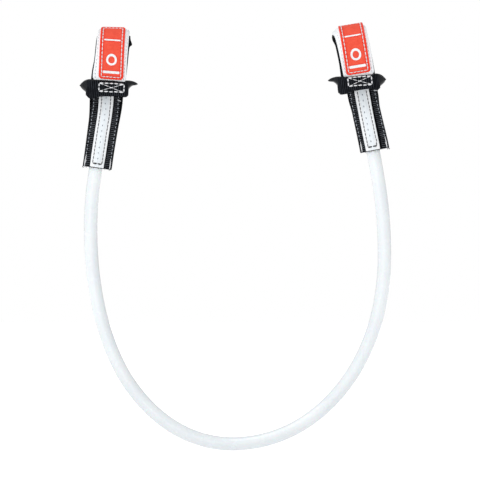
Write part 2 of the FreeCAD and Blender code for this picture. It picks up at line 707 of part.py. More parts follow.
def lens_section(body, name, drop_formula, width, near, thick, crown, width_formula, thick_formula,
                 crown_formula, near_formula, front):
    """One cross-section of a leg layer: straight sides, both faces arched over the rope."""
    sketch = new_sketch(body, name, "XY_Plane")
    sketch.setExpression(".AttachmentOffset.Base.z", drop_formula)
    half = width / 2
    radius = (half * half + crown * crown) / (2 * crown)
    faces = []
    for level in (near, near + thick):
        left = Vector(-half, front * level, 0)
        middle = Vector(0, front * (level + crown), 0)
        right = Vector(half, front * level, 0)
        faces.append((left, middle, right))
    sketch.addGeometry(Part.Arc(*faces[0]))
    sketch.addGeometry(Part.LineSegment(faces[0][2], faces[1][2]))
    sketch.addGeometry(Part.Arc(*faces[1]))
    sketch.addGeometry(Part.LineSegment(faces[1][0], faces[0][0]))
    # An arc's first point is the one it starts from going anticlockwise
    left_end, right_end = (1, 2) if front < 0 else (2, 1)
    sketch.addConstraint([
        Sketcher.Constraint("Coincident", 0, right_end, 1, 1),
        Sketcher.Constraint("Coincident", 2, right_end, 1, 2),
        Sketcher.Constraint("Coincident", 2, left_end, 3, 1),
        Sketcher.Constraint("Coincident", 0, left_end, 3, 2),
        Sketcher.Constraint("Vertical", 1),
        Sketcher.Constraint("Vertical", 3),
        Sketcher.Constraint("PointOnObject", 0, 3, -2),
        Sketcher.Constraint("Equal", 0, 2),
    ])
    radius_formula = "((%s)^2 + (%s)^2) / (2 * (%s))" % (width_formula, crown_formula, crown_formula)
    bind(sketch, "Radius", (0,), radius, "arch", radius_formula)
    bind(sketch, "DistanceX", (-1, 1, 1, 1), half, "half_width", width_formula)
    bind(sketch, "Distance", (1,), thick, "thickness", thick_formula)
    start, stop = ((1, 1), (-1, 1)) if front < 0 else ((-1, 1), (1, 1))
    bind(sketch, "DistanceY", start + stop, near, "near_face", near_formula)
    return sketch


def leg_layer(label, end, width_alias, thick_alias, under, front):
    """A leg layer lofted from the flat neck to the arch over the rope, then straight to its end.

    under is how far the layer's inner face stands from the leg's middle plane at its edges.
    """
    body = new_body(label)
    half_formula = "Sizes.%s / 2" % width_alias
    width = size(width_alias)
    thick = size(thick_alias)
    # A narrower layer takes only the middle of the arch
    share = (width / size("leg_width")) ** 2
    share_formula = "(Sizes.%s / Sizes.leg_width)^2" % width_alias
    stations = [
        ("neck", "-Sizes.leg_start", "leg_flat_crown"),
        ("arch", "-Sizes.leg_taper", "leg_crown"),
        ("end", "-Sizes.%s_leg_length" % end, "leg_crown"),
    ]
    sketches = []
    for name, drop_formula, crown_alias in stations:
        crown = size(crown_alias) * share
        crown_formula = "Sizes.%s * %s" % (crown_alias, share_formula)
        near = under + size(crown_alias) * (1 - share)
        near_formula = "%s + Sizes.%s * (1 - %s)" % (under, crown_alias, share_formula)
        sketches.append(lens_section(body, label + "_" + name, drop_formula, width, near, thick, crown,
                                     half_formula, "Sizes." + thick_alias, crown_formula, near_formula,
                                     front))
    doc.recompute()
    loft = body.newObject("PartDesign::AdditiveLoft", label + "_loft")
    loft.Profile = sketches[0]
    loft.Sections = sketches[1:]
    loft.Ruled = True
    body.Placement = leg_frame(end)
    return body


def leg_stitching(end):
    """Thread rows along both edges of the leg's front, tilted to lie on the arch."""
    label = end + "_leg_stitching"
    frame = leg_frame(end)
    half = size("leg_width") / 2
    crown = size("leg_crown")
    radius = (half * half + crown * crown) / (2 * crown)
    across = half - size("row_inset")
    face = (size("leg_gap") + size("leg_webbing_thick") + crown - radius
            + math.sqrt(radius ** 2 - across ** 2))
    tilt = math.degrees(math.asin(across / radius))
    length = size(end + "_leg_length") - size("leg_taper")
    rows = []
    for side in (-1, 1):
        row = doc.addObject("Part::Box", "%s_row_%d" % (label, (side + 1) // 2))
        row.setExpression("Length", "Sizes.row_width")
        row.setExpression("Width", "Sizes.row_thick")
        row.setExpression("Height", "Sizes.%s_leg_length - Sizes.leg_taper" % end)
        turn = Rotation(Vector(0, 0, 1), side * tilt)
        clear = size("leg_gap") / 2
        corner = turn.multVec(Vector(-size("row_width") / 2, -size("row_thick") - clear, 0))
        place = Vector(side * across, -face, -size("leg_taper") - length) + corner
        row.Placement = frame.multiply(Placement(place, turn))
        rows.append(row)
    stitching = doc.addObject("Part::Compound", label)
    stitching.Label = label
    stitching.Links = rows
    return stitching


def leg(end):
    gap = size("leg_gap")
    outer_face = gap + size("leg_webbing_thick") + gap / 2
    return [
        leg_layer(end + "_leg_front_webbing", end, "leg_width", "leg_webbing_thick", gap, -1),
        leg_layer(end + "_leg_back_webbing", end, "leg_width", "leg_webbing_thick", gap, 1),
        leg_layer(end + "_leg_stripe", end, "stripe_width", "stripe_thick", outer_face, -1),
        leg_stitching(end),
    ]


# ---------------------------------------------------------------- tube and rope

def rounded_route(points, report=None):
    """A wire of straight runs joined by tangent arcs, each as large as its two runs allow."""
    edges = []
    run_start = points[0]
    for index in range(1, len(points) - 1):
        before = points[index - 1] - points[index]
        after = points[index + 1] - points[index]
        turn = math.pi - before.getAngle(after)
        reach = 0.45 * min(before.Length, after.Length)
        radius = reach / math.tan(turn / 2)
        before.normalize()
        after.normalize()
        arc_start = points[index] + before * reach
        arc_stop = points[index] + after * reach
        inward = before + after
        inward.normalize()
        to_centre = math.hypot(reach, radius)
        middle = points[index] + inward * (to_centre - radius)
        edges.append(Part.LineSegment(run_start, arc_start).toShape())
        edges.append(Part.Arc(arc_start, middle, arc_stop).toShape())
        run_start = arc_stop
        if report:
            print("%s: corner %d turns %.1f degrees, radius %.0f mm"
                  % (report, index, math.degrees(turn), radius))
    edges.append(Part.LineSegment(run_start, points[-1]).toShape())
    return Part.Wire(edges)


def swept_rod(name, route, wire, diameter_formula):
    """A round rod along a route, made by sweeping a circle that stands square to the route's start."""
    circle = doc.addObject("Part::Circle", name + "_section")
    circle.setExpression("Radius", diameter_formula + " / 2")
    start = wire.OrderedVertexes[0].Point
    along = wire.OrderedEdges[0].tangentAt(wire.OrderedEdges[0].FirstParameter)
    circle.Placement = Placement(start, Rotation(Vector(0, 0, 1), along))
    rod = doc.addObject("Part::Sweep", name)
    rod.Sections = [circle]
    rod.Spine = (route, ["Edge%d" % (index + 1) for index in range(len(wire.Edges))])
    rod.Solid = True
    rod.Frenet = False
    return rod


def route_object(name, wire):
    route = doc.addObject("Part::Feature", name)
    route.Shape = wire
    return route


def line_tube(points):
    wire = rounded_route(points, "line_tube")
    route = route_object("tube_route", wire)
    outside = swept_rod("tube_outside", route, wire, "Sizes.tube_outer")
    bore = swept_rod("tube_bore_rod", route, wire, "Sizes.tube_bore")
    tube = doc.addObject("Part::Cut", "line_tube")
    tube.Label = "line_tube"
    tube.Base = outside
    tube.Tool = bore
    return tube, wire


def core_rope(points):
    """The rope runs through the tube and up between each leg's webbings, along the leg's middle."""
    tucks = []
    for end in ENDS:
        drop = size(end + "_leg_length") - size("rope_tuck")
        tucks.append(leg_frame(end).multVec(Vector(0, 0, -drop)))
    wire = rounded_route([tucks[0]] + points + [tucks[1]])
    route = route_object("rope_route", wire)
    rope = swept_rod("core_rope", route, wire, "Sizes.rope_thick")
    rope.Label = "core_rope"
    return rope, wire


# ---------------------------------------------------------------- build, check and write

route_points = [Vector(x, 0, z) for x, z in ROUTE]
parts = []
for end in ENDS:
    parts += [saddle(end), keeper_band(end), keeper_stitching(end), boom_strap(end), loop_tape(end)]
    parts += tab(end)
    parts += leg(end)
tube, tube_wire = line_tube(route_points)
rope, rope_wire = core_rope(route_points)
parts += [tube, rope]
doc.recompute()

for item in doc.Objects:
    if "Invalid" in item.State or "Error" in item.State:
        raise RuntimeError("%s failed: %s" % (item.Name, item.State))
for part in parts:
    if part.Shape.isNull() or not part.Shape.isValid() or not part.Shape.Solids:
        raise RuntimeError("%s has no valid solid" % part.Label)

ring_area = math.pi / 4 * (size("tube_outer") ** 2 - size("tube_bore") ** 2)
rope_area = math.pi / 4 * size("rope_thick") ** 2
print("tube: length %.1f mm, volume %.0f mm3, section times length %.0f mm3"
      % (tube_wire.Length, tube.Shape.Volume, ring_area * tube_wire.Length))
print("rope: length %.1f mm, volume %.0f mm3, section times length %.0f mm3"
      % (rope_wire.Length, rope.Shape.Volume, rope_area * rope_wire.Length))
for end in ENDS:
    neck = neck_point(end)
    print("%s neck at %.2f, %.2f, %.2f" % (end, neck.x, neck.y, neck.z))

os.makedirs("parts", exist_ok=True)
for part in parts:
    part.Shape.exportStep("parts/%s.step" % part.Label)
print("%d parts written" % len(parts))
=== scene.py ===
"""The looks of a windsurfing harness line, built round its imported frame.

Lengths in the tables and helpers are millimetres, and points handed to Blender are metres. Each end
has a frame of its own, as in the CAD: origin on the boom's axis, X along the boom, Z to the crest.
"""
import json
import random
from math import asin, copysign, cos, dist, exp, hypot, pi, radians, sin, sqrt, tan

import bpy
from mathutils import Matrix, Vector


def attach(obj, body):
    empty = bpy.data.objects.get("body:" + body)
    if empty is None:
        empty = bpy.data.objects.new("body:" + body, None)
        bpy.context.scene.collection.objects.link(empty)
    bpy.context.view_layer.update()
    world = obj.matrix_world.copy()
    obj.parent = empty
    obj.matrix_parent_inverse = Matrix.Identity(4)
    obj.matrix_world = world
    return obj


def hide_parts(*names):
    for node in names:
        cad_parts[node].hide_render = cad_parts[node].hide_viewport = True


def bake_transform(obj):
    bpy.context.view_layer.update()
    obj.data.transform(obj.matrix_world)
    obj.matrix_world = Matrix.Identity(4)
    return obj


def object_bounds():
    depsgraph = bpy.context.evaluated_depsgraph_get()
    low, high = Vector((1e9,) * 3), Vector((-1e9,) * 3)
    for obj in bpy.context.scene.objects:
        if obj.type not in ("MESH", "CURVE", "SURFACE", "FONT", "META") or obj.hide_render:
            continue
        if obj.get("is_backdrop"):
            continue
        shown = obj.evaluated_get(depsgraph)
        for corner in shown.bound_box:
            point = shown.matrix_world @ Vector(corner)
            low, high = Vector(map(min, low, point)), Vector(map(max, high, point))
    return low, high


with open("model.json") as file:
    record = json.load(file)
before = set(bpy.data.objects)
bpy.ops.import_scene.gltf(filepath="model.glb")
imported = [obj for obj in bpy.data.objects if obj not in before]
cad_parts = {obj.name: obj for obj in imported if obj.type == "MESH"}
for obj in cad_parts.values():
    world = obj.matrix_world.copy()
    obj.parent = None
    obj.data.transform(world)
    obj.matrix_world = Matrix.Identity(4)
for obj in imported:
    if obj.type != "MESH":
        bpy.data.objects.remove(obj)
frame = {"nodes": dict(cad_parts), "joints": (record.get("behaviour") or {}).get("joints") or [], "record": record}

cad_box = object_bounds()
random.seed(7)
MM = 0.001
BACK = Vector((0, 1, 0))
JOINTS = {joint["name"]: joint for joint in frame["joints"]}
MOUNTS = {mount["name"]: mount for mount in frame["record"]["mounts"]}


# ---- numbers

def clamp(value, low=0.0, high=1.0):
    return max(low, min(high, value))


def ease(low, high, value):
    """0 before low, 1 after high, and smooth between them."""
    share = clamp((value - low) / (high - low))
    return share * share * (3 - 2 * share)


def slope_at(knots, index):
    """Slope of the curve at a knot: none at the ends and at a peak or a dip."""
    if index in (0, len(knots) - 1):
        return 0.0
    (x0, y0), (x1, y1), (x2, y2) = knots[index - 1:index + 2]
    before, after = (y1 - y0) / (x1 - x0), (y2 - y1) / (x2 - x1)
    return 0.0 if before * after <= 0 else 2 * before * after / (before + after)


def through(knots, value):
    """A smooth curve through (position, height) knots that never overshoots them."""
    if value <= knots[0][0]:
        return knots[0][1]
    for index in range(len(knots) - 1):
        (start, low), (stop, high) = knots[index], knots[index + 1]
        if value <= stop:
            wide = stop - start
            t = (value - start) / wide
            rise = slope_at(knots, index) * wide * t * (1 - t) ** 2
            fall = slope_at(knots, index + 1) * wide * t * t * (t - 1)
            return low + (high - low) * t * t * (3 - 2 * t) + rise + fall
    return knots[-1][1]


def steps(start, stop, pitch):
    """Even positions from start to stop, about a pitch apart."""
    count = max(1, round(abs(stop - start) / pitch))
    return [start + (stop - start) * index / count for index in range(count + 1)]


def circle(count):
    """Angles of even steps round a circle."""
    return [2 * pi * index / count for index in range(count)]


def squash(value, power):
    """A power of a sine or a cosine that keeps its sign, which squares a circle off."""
    return copysign(abs(value) ** power, value)


# ---- the two ends

WRAP_LEAN = radians(20.4)
HALF_WRAP = pi / 2 + WRAP_LEAN
PATH_RADIUS = 20.0
ARC = HALF_WRAP * PATH_RADIUS
HINGE = ARC + 10.6
INNER_RADIUS = 18.0
# The outer layers close in by this share of their height where they go into the saddle
FOOT_SQUEEZE = 0.28


class End:
    """One end of the line. A path position is a length at PATH_RADIUS: 0 at the crest, + to the front."""

    def __init__(self, name, side):
        self.name, self.side = name, side
        self.outward = 2 * side - 1
        self.origin = Vector(MOUNTS["boom_clamp_" + name]["pos_m"])
        self.x = Vector(JOINTS[name + "_tab_peel"]["axis"]).normalized()
        self.z = self.x.cross(BACK)
        self.neck = Vector(JOINTS["line_swing" if name == "left" else "right_strap_swing"]["pos_m"])

    def at(self, across, back, up):
        return self.origin + (self.x * across + BACK * back + self.z * up) * MM

    def wrap(self, across, path, radius):
        """A point on the teardrop that the strap and its layers follow round the boom."""
        side = -1 if path > 0 else 1
        if path > 0 and radius > INNER_RADIUS:
            radius -= (radius - INNER_RADIUS) * FOOT_SQUEEZE * ease(ARC + 8, ARC + 17, path)
        turned = min(abs(path), ARC)
        angle = turned / PATH_RADIUS
        run = abs(path) - turned
        back = side * (sin(angle) * radius - run * sin(WRAP_LEAN))
        up = cos(angle) * radius - run * cos(WRAP_LEAN)
        return self.at(across, back, up)


ENDS = (End("left", 0), End("right", 1))

# Values in pairs are for the left and the right end.
# Where each layer lies across the boom, and half its width, by path position
STRAP_LIE = (
    [(-60, -1.2), (-42, -0.5), (-25, 0.0), (-21.5, 0.4), (-18.5, 2.4), (-12, 1.1), (-6, 0.7),
     (4, 0.9), (12, 0.5), (24, 0.15), (39, 0.1), (50, -0.9), (60, -1.3)],
    [(-60, 0.4), (-42, 0.3), (-30, -0.2), (-22, -0.7), (-13, -2.5), (-8, -2.7), (4, -2.1),
     (10, -1.4), (16, -1.0), (30, -0.4), (60, -0.3)],
)
STRAP_HALF = [(-60, 15.3), (-40, 15.0), (-24, 14.8), (24, 14.75), (60, 15.4)]
PAD_LIE = ([(0, 0.3), (24, 0.45), (39, 0.25), (54, -0.2)],
           [(0, -1.5), (16, -0.55), (38, 0.3), (56, 0.55)])
PAD_HALF = ([(0, 14.2), (24, 14.2), (39, 14.4), (54, 15.0)],
            [(0, 15.3), (16, 14.5), (38, 14.2), (54, 13.95)])
PATCH_LIE = ([(0, -0.3), (54, 1.2)], [(0, 0.5), (54, 0.4)])
LOOPS_HALF, HOOKS_HALF, PATCH_HALF, MARK_HALF = 13.5, 13.0, 11.1, 7.5
# Inner and outer radius of each layer round the boom
STRAP_RADII, LOOPS_RADII, HOOKS_RADII = (15.1, 16.9), (16.9, 17.95), (18.25, 19.3)
PAD_RADII, PATCH_RADII, BAR_RADII, LABEL_RADII = (19.1, 22.1), (22.0, 23.55), (23.2, 24.0), (23.2, 23.95)
# Path positions of the layers' ends, and of the patch's bar, ring and label bar
STRAP_END = ARC + 24
LOOPS_BACK, PAD_BACK = -radians(48) * PATH_RADIUS, -radians(33) * PATH_RADIUS
PAD_FOOT = (ARC + 21.6, ARC + 20.0)
PATCH_FOOT = (ARC + 17.5, ARC + 15.2)
PATCH_TOP = (radians(15.5) * PATH_RADIUS, radians(-4) * PATH_RADIUS)
PATCH_MARKS = ((radians(62.3) * PATH_RADIUS, ARC - 1.2, ARC + 10.2),
               (radians(57.8) * PATH_RADIUS, ARC - 3.1, ARC + 7.5))
BAR_HALF, LABEL_HALF = 0.62, 1.3
RING_RADIUS, RING_HALF, RING_RAISE, RING_POINTS, RING_STEPS = 3.85, 0.95, 0.45, 16, 72
# How much the layers rise across the crest, and how far the pad's edges droop over the tapes
CREST_RISE = (0.055, 0.0)
PAD_DROOP = ((1.6, 1.6), (2.6, 1.2))
# How far in from its outline a pad or a patch is sewn
PAD_SEWN, PATCH_SEWN = 2.1, 2.42


# ---- meshes

EDGE_PARTS = 6


def in_scene(name, data):
    obj = bpy.data.objects.new(name, data)
    bpy.context.scene.collection.objects.link(obj)
    return obj


def make_mesh(name, points, faces, finish, coords=None, tones=None):
    """A smooth-shaded object from points in metres, with its finish, UVs in mm and a tone per point."""
    mesh = bpy.data.meshes.new(name)
    mesh.from_pydata([tuple(point) for point in points], [], faces)
    mesh.validate()
    mesh.shade_smooth()
    if coords:
        layer = mesh.uv_layers.new(name="UVMap")
        for loop in mesh.loops:
            layer.data[loop.index].uv = coords[loop.vertex_index]
    if tones:
        attribute = mesh.attributes.new("tone", "FLOAT", "POINT")
        attribute.data.foreach_set("value", tones)
    mesh.materials.append(finish)
    return in_scene(name, mesh)


def join_rings(rings, loop=False):
    """Faces between equal closed rings of points, capped at both ends unless they form a loop."""
    size = len(rings[0])
    faces = []
    count = len(rings) if loop else len(rings) - 1
    for ring in range(count):
        here, there = ring * size, (ring + 1) % len(rings) * size
        for index in range(size):
            after = (index + 1) % size
            faces.append((here + index, here + after, there + after, there + index))
    if not loop:
        faces += [tuple(reversed(range(size))), tuple(range((len(rings) - 1) * size, len(rings) * size))]
    return faces


def turn_out(obj):
    """Point every face outwards."""
    bpy.context.view_layer.objects.active = obj
    obj.select_set(True)
    bpy.ops.object.mode_set(mode="EDIT")
    bpy.ops.mesh.select_all(action="SELECT")
    bpy.ops.mesh.normals_make_consistent(inside=False)
    bpy.ops.object.mode_set(mode="OBJECT")
    obj.select_set(False)
    return obj


def skin(name, rings, finish, coords, tones=None, loop=False):
    """A closed object over rings of points, with its faces turned out."""
    points = [spot for ring in rings for spot in ring]
    return turn_out(make_mesh(name, points, join_rings(rings, loop), finish, coords, tones))


def edge_offsets(edge, corner):
    """Distances from a strip's end at which its outline bends, so that rings can go there."""
    shares = [1 - cos(pi / 2 / EDGE_PARTS * part) for part in range(EDGE_PARTS + 1)]
    return {round(size * share, 3) for share in shares for size in (edge, corner)}


def layer(name, finish, start, stop, half, low, high, place, edge=0.5, corner=2.0, pitch=1.0,
          fine=(), relief=None, tone=None, across=14):
    """A strip with rounded edges and corners: place(across, along, height) puts each point in space.

    half is a half width, or a function of the position along. fine lists distances in from the outline
    that need rings and columns of their own. relief raises the outer face, and tone marks it."""
    ends = sorted(edge_offsets(edge, corner) | set(fine))
    length = stop - start
    alongs = [spot for offset in ends if offset < length / 2 for spot in (start + offset, stop - offset)]
    alongs += steps(start + ends[-1], stop - ends[-1], pitch)[1:-1]
    alongs = sorted({round(value, 3) for value in alongs})
    half_at = half if callable(half) else lambda along: half
    rings, coords, tones = [], [], []
    middle, thick = (low + high) / 2, (high - low) / 2
    turns = [pi * part / EDGE_PARTS for part in range(1, EDGE_PARTS)]
    rounded = [(edge * sin(turn), thick * cos(turn)) for turn in turns]
    for along in alongs:
        inset = min(along - start, stop - along)
        whole = wide = half_at(along)
        if inset < corner:
            wide -= corner - sqrt(max(0.0, corner ** 2 - (corner - inset) ** 2))
        fat = sqrt(max(0.004, 1 - (1 - clamp(inset / edge)) ** 2))
        flat = wide - edge
        insets = [value for value in (edge, *fine) if edge <= value < wide]
        columns = {side * (wide - value) for value in insets for side in (-1, 1)}
        inner = wide - max(edge, *fine, 0.0)
        columns = sorted([*columns, *(inner * (2 * index / across - 1) for index in range(1, across))])
        outline = [(value, thick) for value in columns]
        outline += [(flat + out, up) for out, up in rounded]
        outline += [(flat * (1 - 2 * index / across), -thick) for index in range(across + 1)]
        outline += [(-flat - out, -up) for out, up in rounded]
        ring = []
        for aside, up in outline:
            depth = depth_in(aside, inset, corner, whole)
            height = middle + up * fat
            if up > 0 and relief:
                height += relief(aside, along, depth) * fat * clamp(up / thick)
            ring.append(place(aside, along, height))
            coords.append((aside, along))
            tones.append(tone(aside, along, depth) if up > 0 and tone else 0.0)
        rings.append(ring)
    return skin(name, rings, finish, coords, tones if tone else None)


def depth_in(aside, inset, corner, half):
    """How far a point is inside the rounded outline of its strip."""
    from_side = half - abs(aside)
    if from_side < corner and inset < corner:
        return max(0.0, corner - hypot(corner - from_side, corner - inset))
    return min(from_side, inset)


def threads(name, finish, runs, radius, sides=7, lift=0.5):
    """Stitches as one mesh. A run is a list of points and outward directions; its ends dive in."""
    points, faces, coords = [], [], []
    for run in runs:
        rings, travelled = [], 0.0
        for index, (spot, outward) in enumerate(run):
            before, after = run[max(0, index - 1)][0], run[min(len(run) - 1, index + 1)][0]
            aside = (after - before).normalized().cross(outward).normalized()
            share = sin(pi * (index + 0.35) / (len(run) - 0.3))
            fat = radius * MM * (0.45 + 0.55 * share)
            centre = spot + outward * (radius * MM * (lift * 2 * share - lift))
            if index:
                travelled += (spot - run[index - 1][0]).length / MM
            rings.append([centre + (aside * cos(angle) + outward * sin(angle)) * fat
                          for angle in circle(sides)])
            coords += [(side / sides * 3, travelled) for side in range(sides)]
        faces += [tuple(len(points) + corner for corner in face) for face in join_rings(rings)]
        points += [spot for ring in rings for spot in ring]
    return turn_out(make_mesh(name, points, faces, finish, coords))


def stitch_row(place, spots, height, stitch, gap, wander=0.0, samples=5):
    """Runs of stitches along (across, along) spots on a surface given by place."""
    legs = [(a, b, dist(a, b)) for a, b in zip(spots, spots[1:])]
    total = sum(length for _, _, length in legs)

    def spot_at(distance):
        for start, stop, length in legs:
            if distance <= length or stop is spots[-1]:
                share = clamp(distance / length)
                return [a + (b - a) * share for a, b in zip(start, stop)]
            distance -= length

    count = max(1, round(total / (stitch + gap)))
    unit = total / count
    runs = []
    for number in range(count):
        slide = random.uniform(-wander, wander)
        run = []
        for sample in range(samples):
            distance = number * unit + gap / 2 + (unit - gap) * sample / (samples - 1)
            aside, along = spot_at(clamp(distance, 0, total))
            low = place(aside + slide, along, height)
            high = place(aside + slide, along, height + 1.0)
            run.append((low, (high - low).normalized()))
        runs.append(run)
    return runs


# ---- materials

class Nodes:
    """A short hand for node materials: every pattern is made from UVs in mm or object coordinates."""

    def __init__(self, name, **sockets):
        self.material = bpy.data.materials.new(name)
        self.material.use_nodes = True
        self.tree = self.material.node_tree
        self.shader = self.tree.nodes["Principled BSDF"]
        for socket, value in sockets.items():
            self.shader.inputs[socket.replace("_", " ")].default_value = value
        coordinates = self.add("ShaderNodeTexCoord")
        self.uv = coordinates.outputs["UV"]
        self.place = coordinates.outputs["Object"]

    def add(self, kind, **settings):
        node = self.tree.nodes.new(kind)
        for key, value in settings.items():
            setattr(node, key, value)
        return node

    def feed(self, socket, value):
        if isinstance(value, bpy.types.NodeSocket):
            self.tree.links.new(value, socket)
        elif hasattr(value, "__len__") and len(value) == 3 and socket.type == "RGBA":
            socket.default_value = (*value, 1)
        else:
            socket.default_value = value

    def math(self, operation, first, second=0.0, third=0.0):
        node = self.add("ShaderNodeMath", operation=operation)
        for socket, value in zip(node.inputs, (first, second, third)):
            self.feed(socket, value)
        return node.outputs[0]

    def times(self, first, second):
        return self.math("MULTIPLY", first, second)

    def texture(self, kind, vector, output, **inputs):
        node = self.add(kind)
        self.feed(node.inputs["Vector"], vector)
        for socket, value in inputs.items():
            node.inputs[socket].default_value = value
        return node.outputs[output]

    def scaled(self, vector, scale):
        return self.texture("ShaderNodeMapping", vector, 0, Scale=scale)

    def noise(self, vector, scale, detail=3.0, rough=0.5):
        return self.texture("ShaderNodeTexNoise", vector, "Fac", Scale=scale, Detail=detail, Roughness=rough)

    def cells(self, vector, scale):
        return self.texture("ShaderNodeTexVoronoi", vector, "Distance", Scale=scale)

    def wave(self, across, pitch, shift=0.0):
        """0 to 1 and back once per pitch of a length in mm."""
        turn = self.math("MULTIPLY_ADD", across, 2 * pi / pitch, shift)
        return self.math("MULTIPLY_ADD", self.math("SINE", turn), 0.5, 0.5)

    def parts(self, vector):
        node = self.add("ShaderNodeSeparateXYZ")
        self.feed(node.inputs[0], vector)
        return tuple(node.outputs)

    def span(self, value, low, high, new_low=0, new_high=1):
        node = self.add("ShaderNodeMapRange", interpolation_type="SMOOTHSTEP")
        for socket, number in zip(node.inputs, (value, low, high, new_low, new_high)):
            self.feed(socket, number)
        return node.outputs[0]

    def mix(self, share, first, second):
        node = self.add("ShaderNodeMix", data_type="RGBA")
        self.feed(node.inputs[0], share)
        self.feed(node.inputs[6], first)
        self.feed(node.inputs[7], second)
        return node.outputs[2]

    def weave(self, warp, weft):
        """Height of a plain weave with these thread pitches in mm, over the UVs."""
        across, along, _ = self.parts(self.uv)
        over = self.wave(across, warp)
        under = self.wave(along, weft)
        odd = self.wave(across, warp * 2, 0.8)
        crossing = self.wave(along, weft * 2, 0.8)
        checks = self.math("ABSOLUTE", self.math("SUBTRACT", odd, crossing))
        return self.math("ADD", self.times(over, under), self.times(checks, 0.6))

    def color(self, value):
        self.feed(self.shader.inputs["Base Color"], value)

    def rough(self, value):
        self.feed(self.shader.inputs["Roughness"], value)

    def bump(self, height, distance, strength=1.0, under=None):
        node = self.add("ShaderNodeBump")
        node.inputs["Distance"].default_value = distance * MM
        node.inputs["Strength"].default_value = strength
        self.feed(node.inputs["Height"], height)
        if under:
            self.feed(node.inputs["Normal"], under)
        self.feed(self.shader.inputs["Normal"], node.outputs[0])
        return node.outputs[0]


def webbing_finish(name, color, warp, weft, depth, highlight_color, rib=None, between=(-1.0, 99.0)):
    """Woven nylon: a plain weave whose high points carry a painted highlight, stronger or weaker by a wear noise,
    and ribs across it with a painted highlight on their tops if it has a rib pitch.
    """
    made = Nodes(name, Sheen_Weight=0.01, Sheen_Roughness=0.45, Specular_IOR_Level=0.03)
    weave = made.weave(warp, weft)
    wear_and_highlight = made.noise(made.place, 220, 4)
    # Painted highlight on the weave's high points, scaled by the noise that also varies the wear in the roughness
    share = made.times(made.span(weave, 0.5, 1.3), made.span(wear_and_highlight, 0.35, 0.7, 0.35, 1))
    if rib:
        across, along, _ = made.parts(made.uv)
        aside = made.math("ABSOLUTE", across)
        near, far = between
        zone = made.times(made.span(aside, near, near + 0.8), made.span(aside, far - 0.7, far, 1, 0))
        # Painted highlight on the rib tops, within the zone between near and far
        ridge_highlight = made.span(made.wave(along, rib, pi / 2), 0.62, 0.97)
        ridge_highlight = made.times(ridge_highlight, made.times(zone, made.span(wear_and_highlight, 0.3, 0.65, 0.35, 1)))
        share = made.math("MAXIMUM", made.times(share, 0.05), ridge_highlight)
    made.color(made.mix(share, color, highlight_color))
    made.rough(made.span(wear_and_highlight, 0.2, 0.8, 0.58, 0.85))
    grain = made.bump(made.noise(made.uv, 6.0, 3), 0.03, 0.6)
    made.bump(weave, depth, 0.9, grain)
    return made.material


def pile_finish():
    """Brushed loops: small round tufts under a soft fluff."""
    made = Nodes("loop_pile", Roughness=0.95, Sheen_Weight=0.08, Sheen_Roughness=0.6,
                 Specular_IOR_Level=0.1)
    loops = made.cells(made.scaled(made.uv, (1, 0.7, 1)), 1.9)
    fluff = made.noise(made.uv, 3.0, 6, 0.7)
    made.color(made.mix(made.times(loops, fluff), (0.008, 0.008, 0.009), (0.05, 0.052, 0.058)))
    made.bump(fluff, 0.25, 0.8, made.bump(loops, 0.35, 1.0))
    return made.material


def hook_finish():
    """Moulded hooks in close rows."""
    made = Nodes("hook_tape", Roughness=0.6, Specular_IOR_Level=0.15)
    across, along, _ = made.parts(made.uv)
    hooks = made.times(made.wave(across, 1.1), made.wave(along, 1.4))
    made.color(made.mix(hooks, (0.01, 0.01, 0.011), (0.06, 0.062, 0.068)))
    made.bump(made.math("POWER", hooks, 3.0), 0.6, 1.0, made.bump(made.noise(made.uv, 4.0), 0.05, 0.5))
    return made.material


def pad_finish():
    """Coated white fabric over foam: a fine grain, faint greying, and slight wrinkles."""
    made = Nodes("white_pad", Sheen_Weight=0.15, Sheen_Roughness=0.4, Specular_IOR_Level=0.4)
    stain = made.noise(made.place, 90, 4)
    made.color(made.mix(made.span(stain, 0.35, 0.75), (0.94, 0.962, 0.98), (0.885, 0.912, 0.938)))
    made.rough(made.span(stain, 0.3, 0.7, 0.42, 0.6))
    wrinkle = made.bump(made.noise(made.scaled(made.uv, (0.5, 1.6, 1)), 0.35, 2), 0.35, 0.5)
    made.bump(made.weave(0.55, 0.55), 0.04, 0.7, wrinkle)
    return made.material


def tape_finish():
    """Smooth white tape with fine lengthwise ridges. Its middle is painted greyer and bluer than its edges, as
    shade.
    """
    made = Nodes("white_tape", Specular_IOR_Level=0.45, Sheen_Weight=0.1)
    across, along, _ = made.parts(made.uv)
    streak = made.noise(made.scaled(made.uv, (1.0, 0.08, 1)), 1.3, 4)
    flank = made.span(made.math("ABSOLUTE", across), 2.2, 3.2)
    worn = made.span(streak, 0.35, 0.7)
    # Painted shade: the middle is greyer and bluer than the white edges
    middle = made.mix(worn, (0.88, 0.925, 0.96), (0.8, 0.86, 0.905))
    edges = made.mix(worn, (0.95, 0.965, 0.98), (0.87, 0.9, 0.93))
    made.color(made.mix(flank, middle, edges))
    made.rough(made.span(streak, 0.3, 0.7, 0.34, 0.5))
    fine = made.bump(made.wave(along, 0.5), 0.03, 0.5)
    made.bump(made.wave(across, 0.9), 0.05, 0.6, fine)
    return made.material


def thread_finish(name, color, dark):
    """Twisted bonded thread: UV across is round the thread, and along is its length."""
    made = Nodes(name, Sheen_Weight=0.3, Specular_IOR_Level=0.4)
    across, along, _ = made.parts(made.uv)
    twist = made.wave(made.math("ADD", along, made.times(across, 0.33)), 0.55)
    made.color(made.mix(twist, dark, color))
    made.rough(made.span(twist, 0, 1, 0.7, 0.5))
    made.bump(twist, 0.1, 0.8)
    return made.material


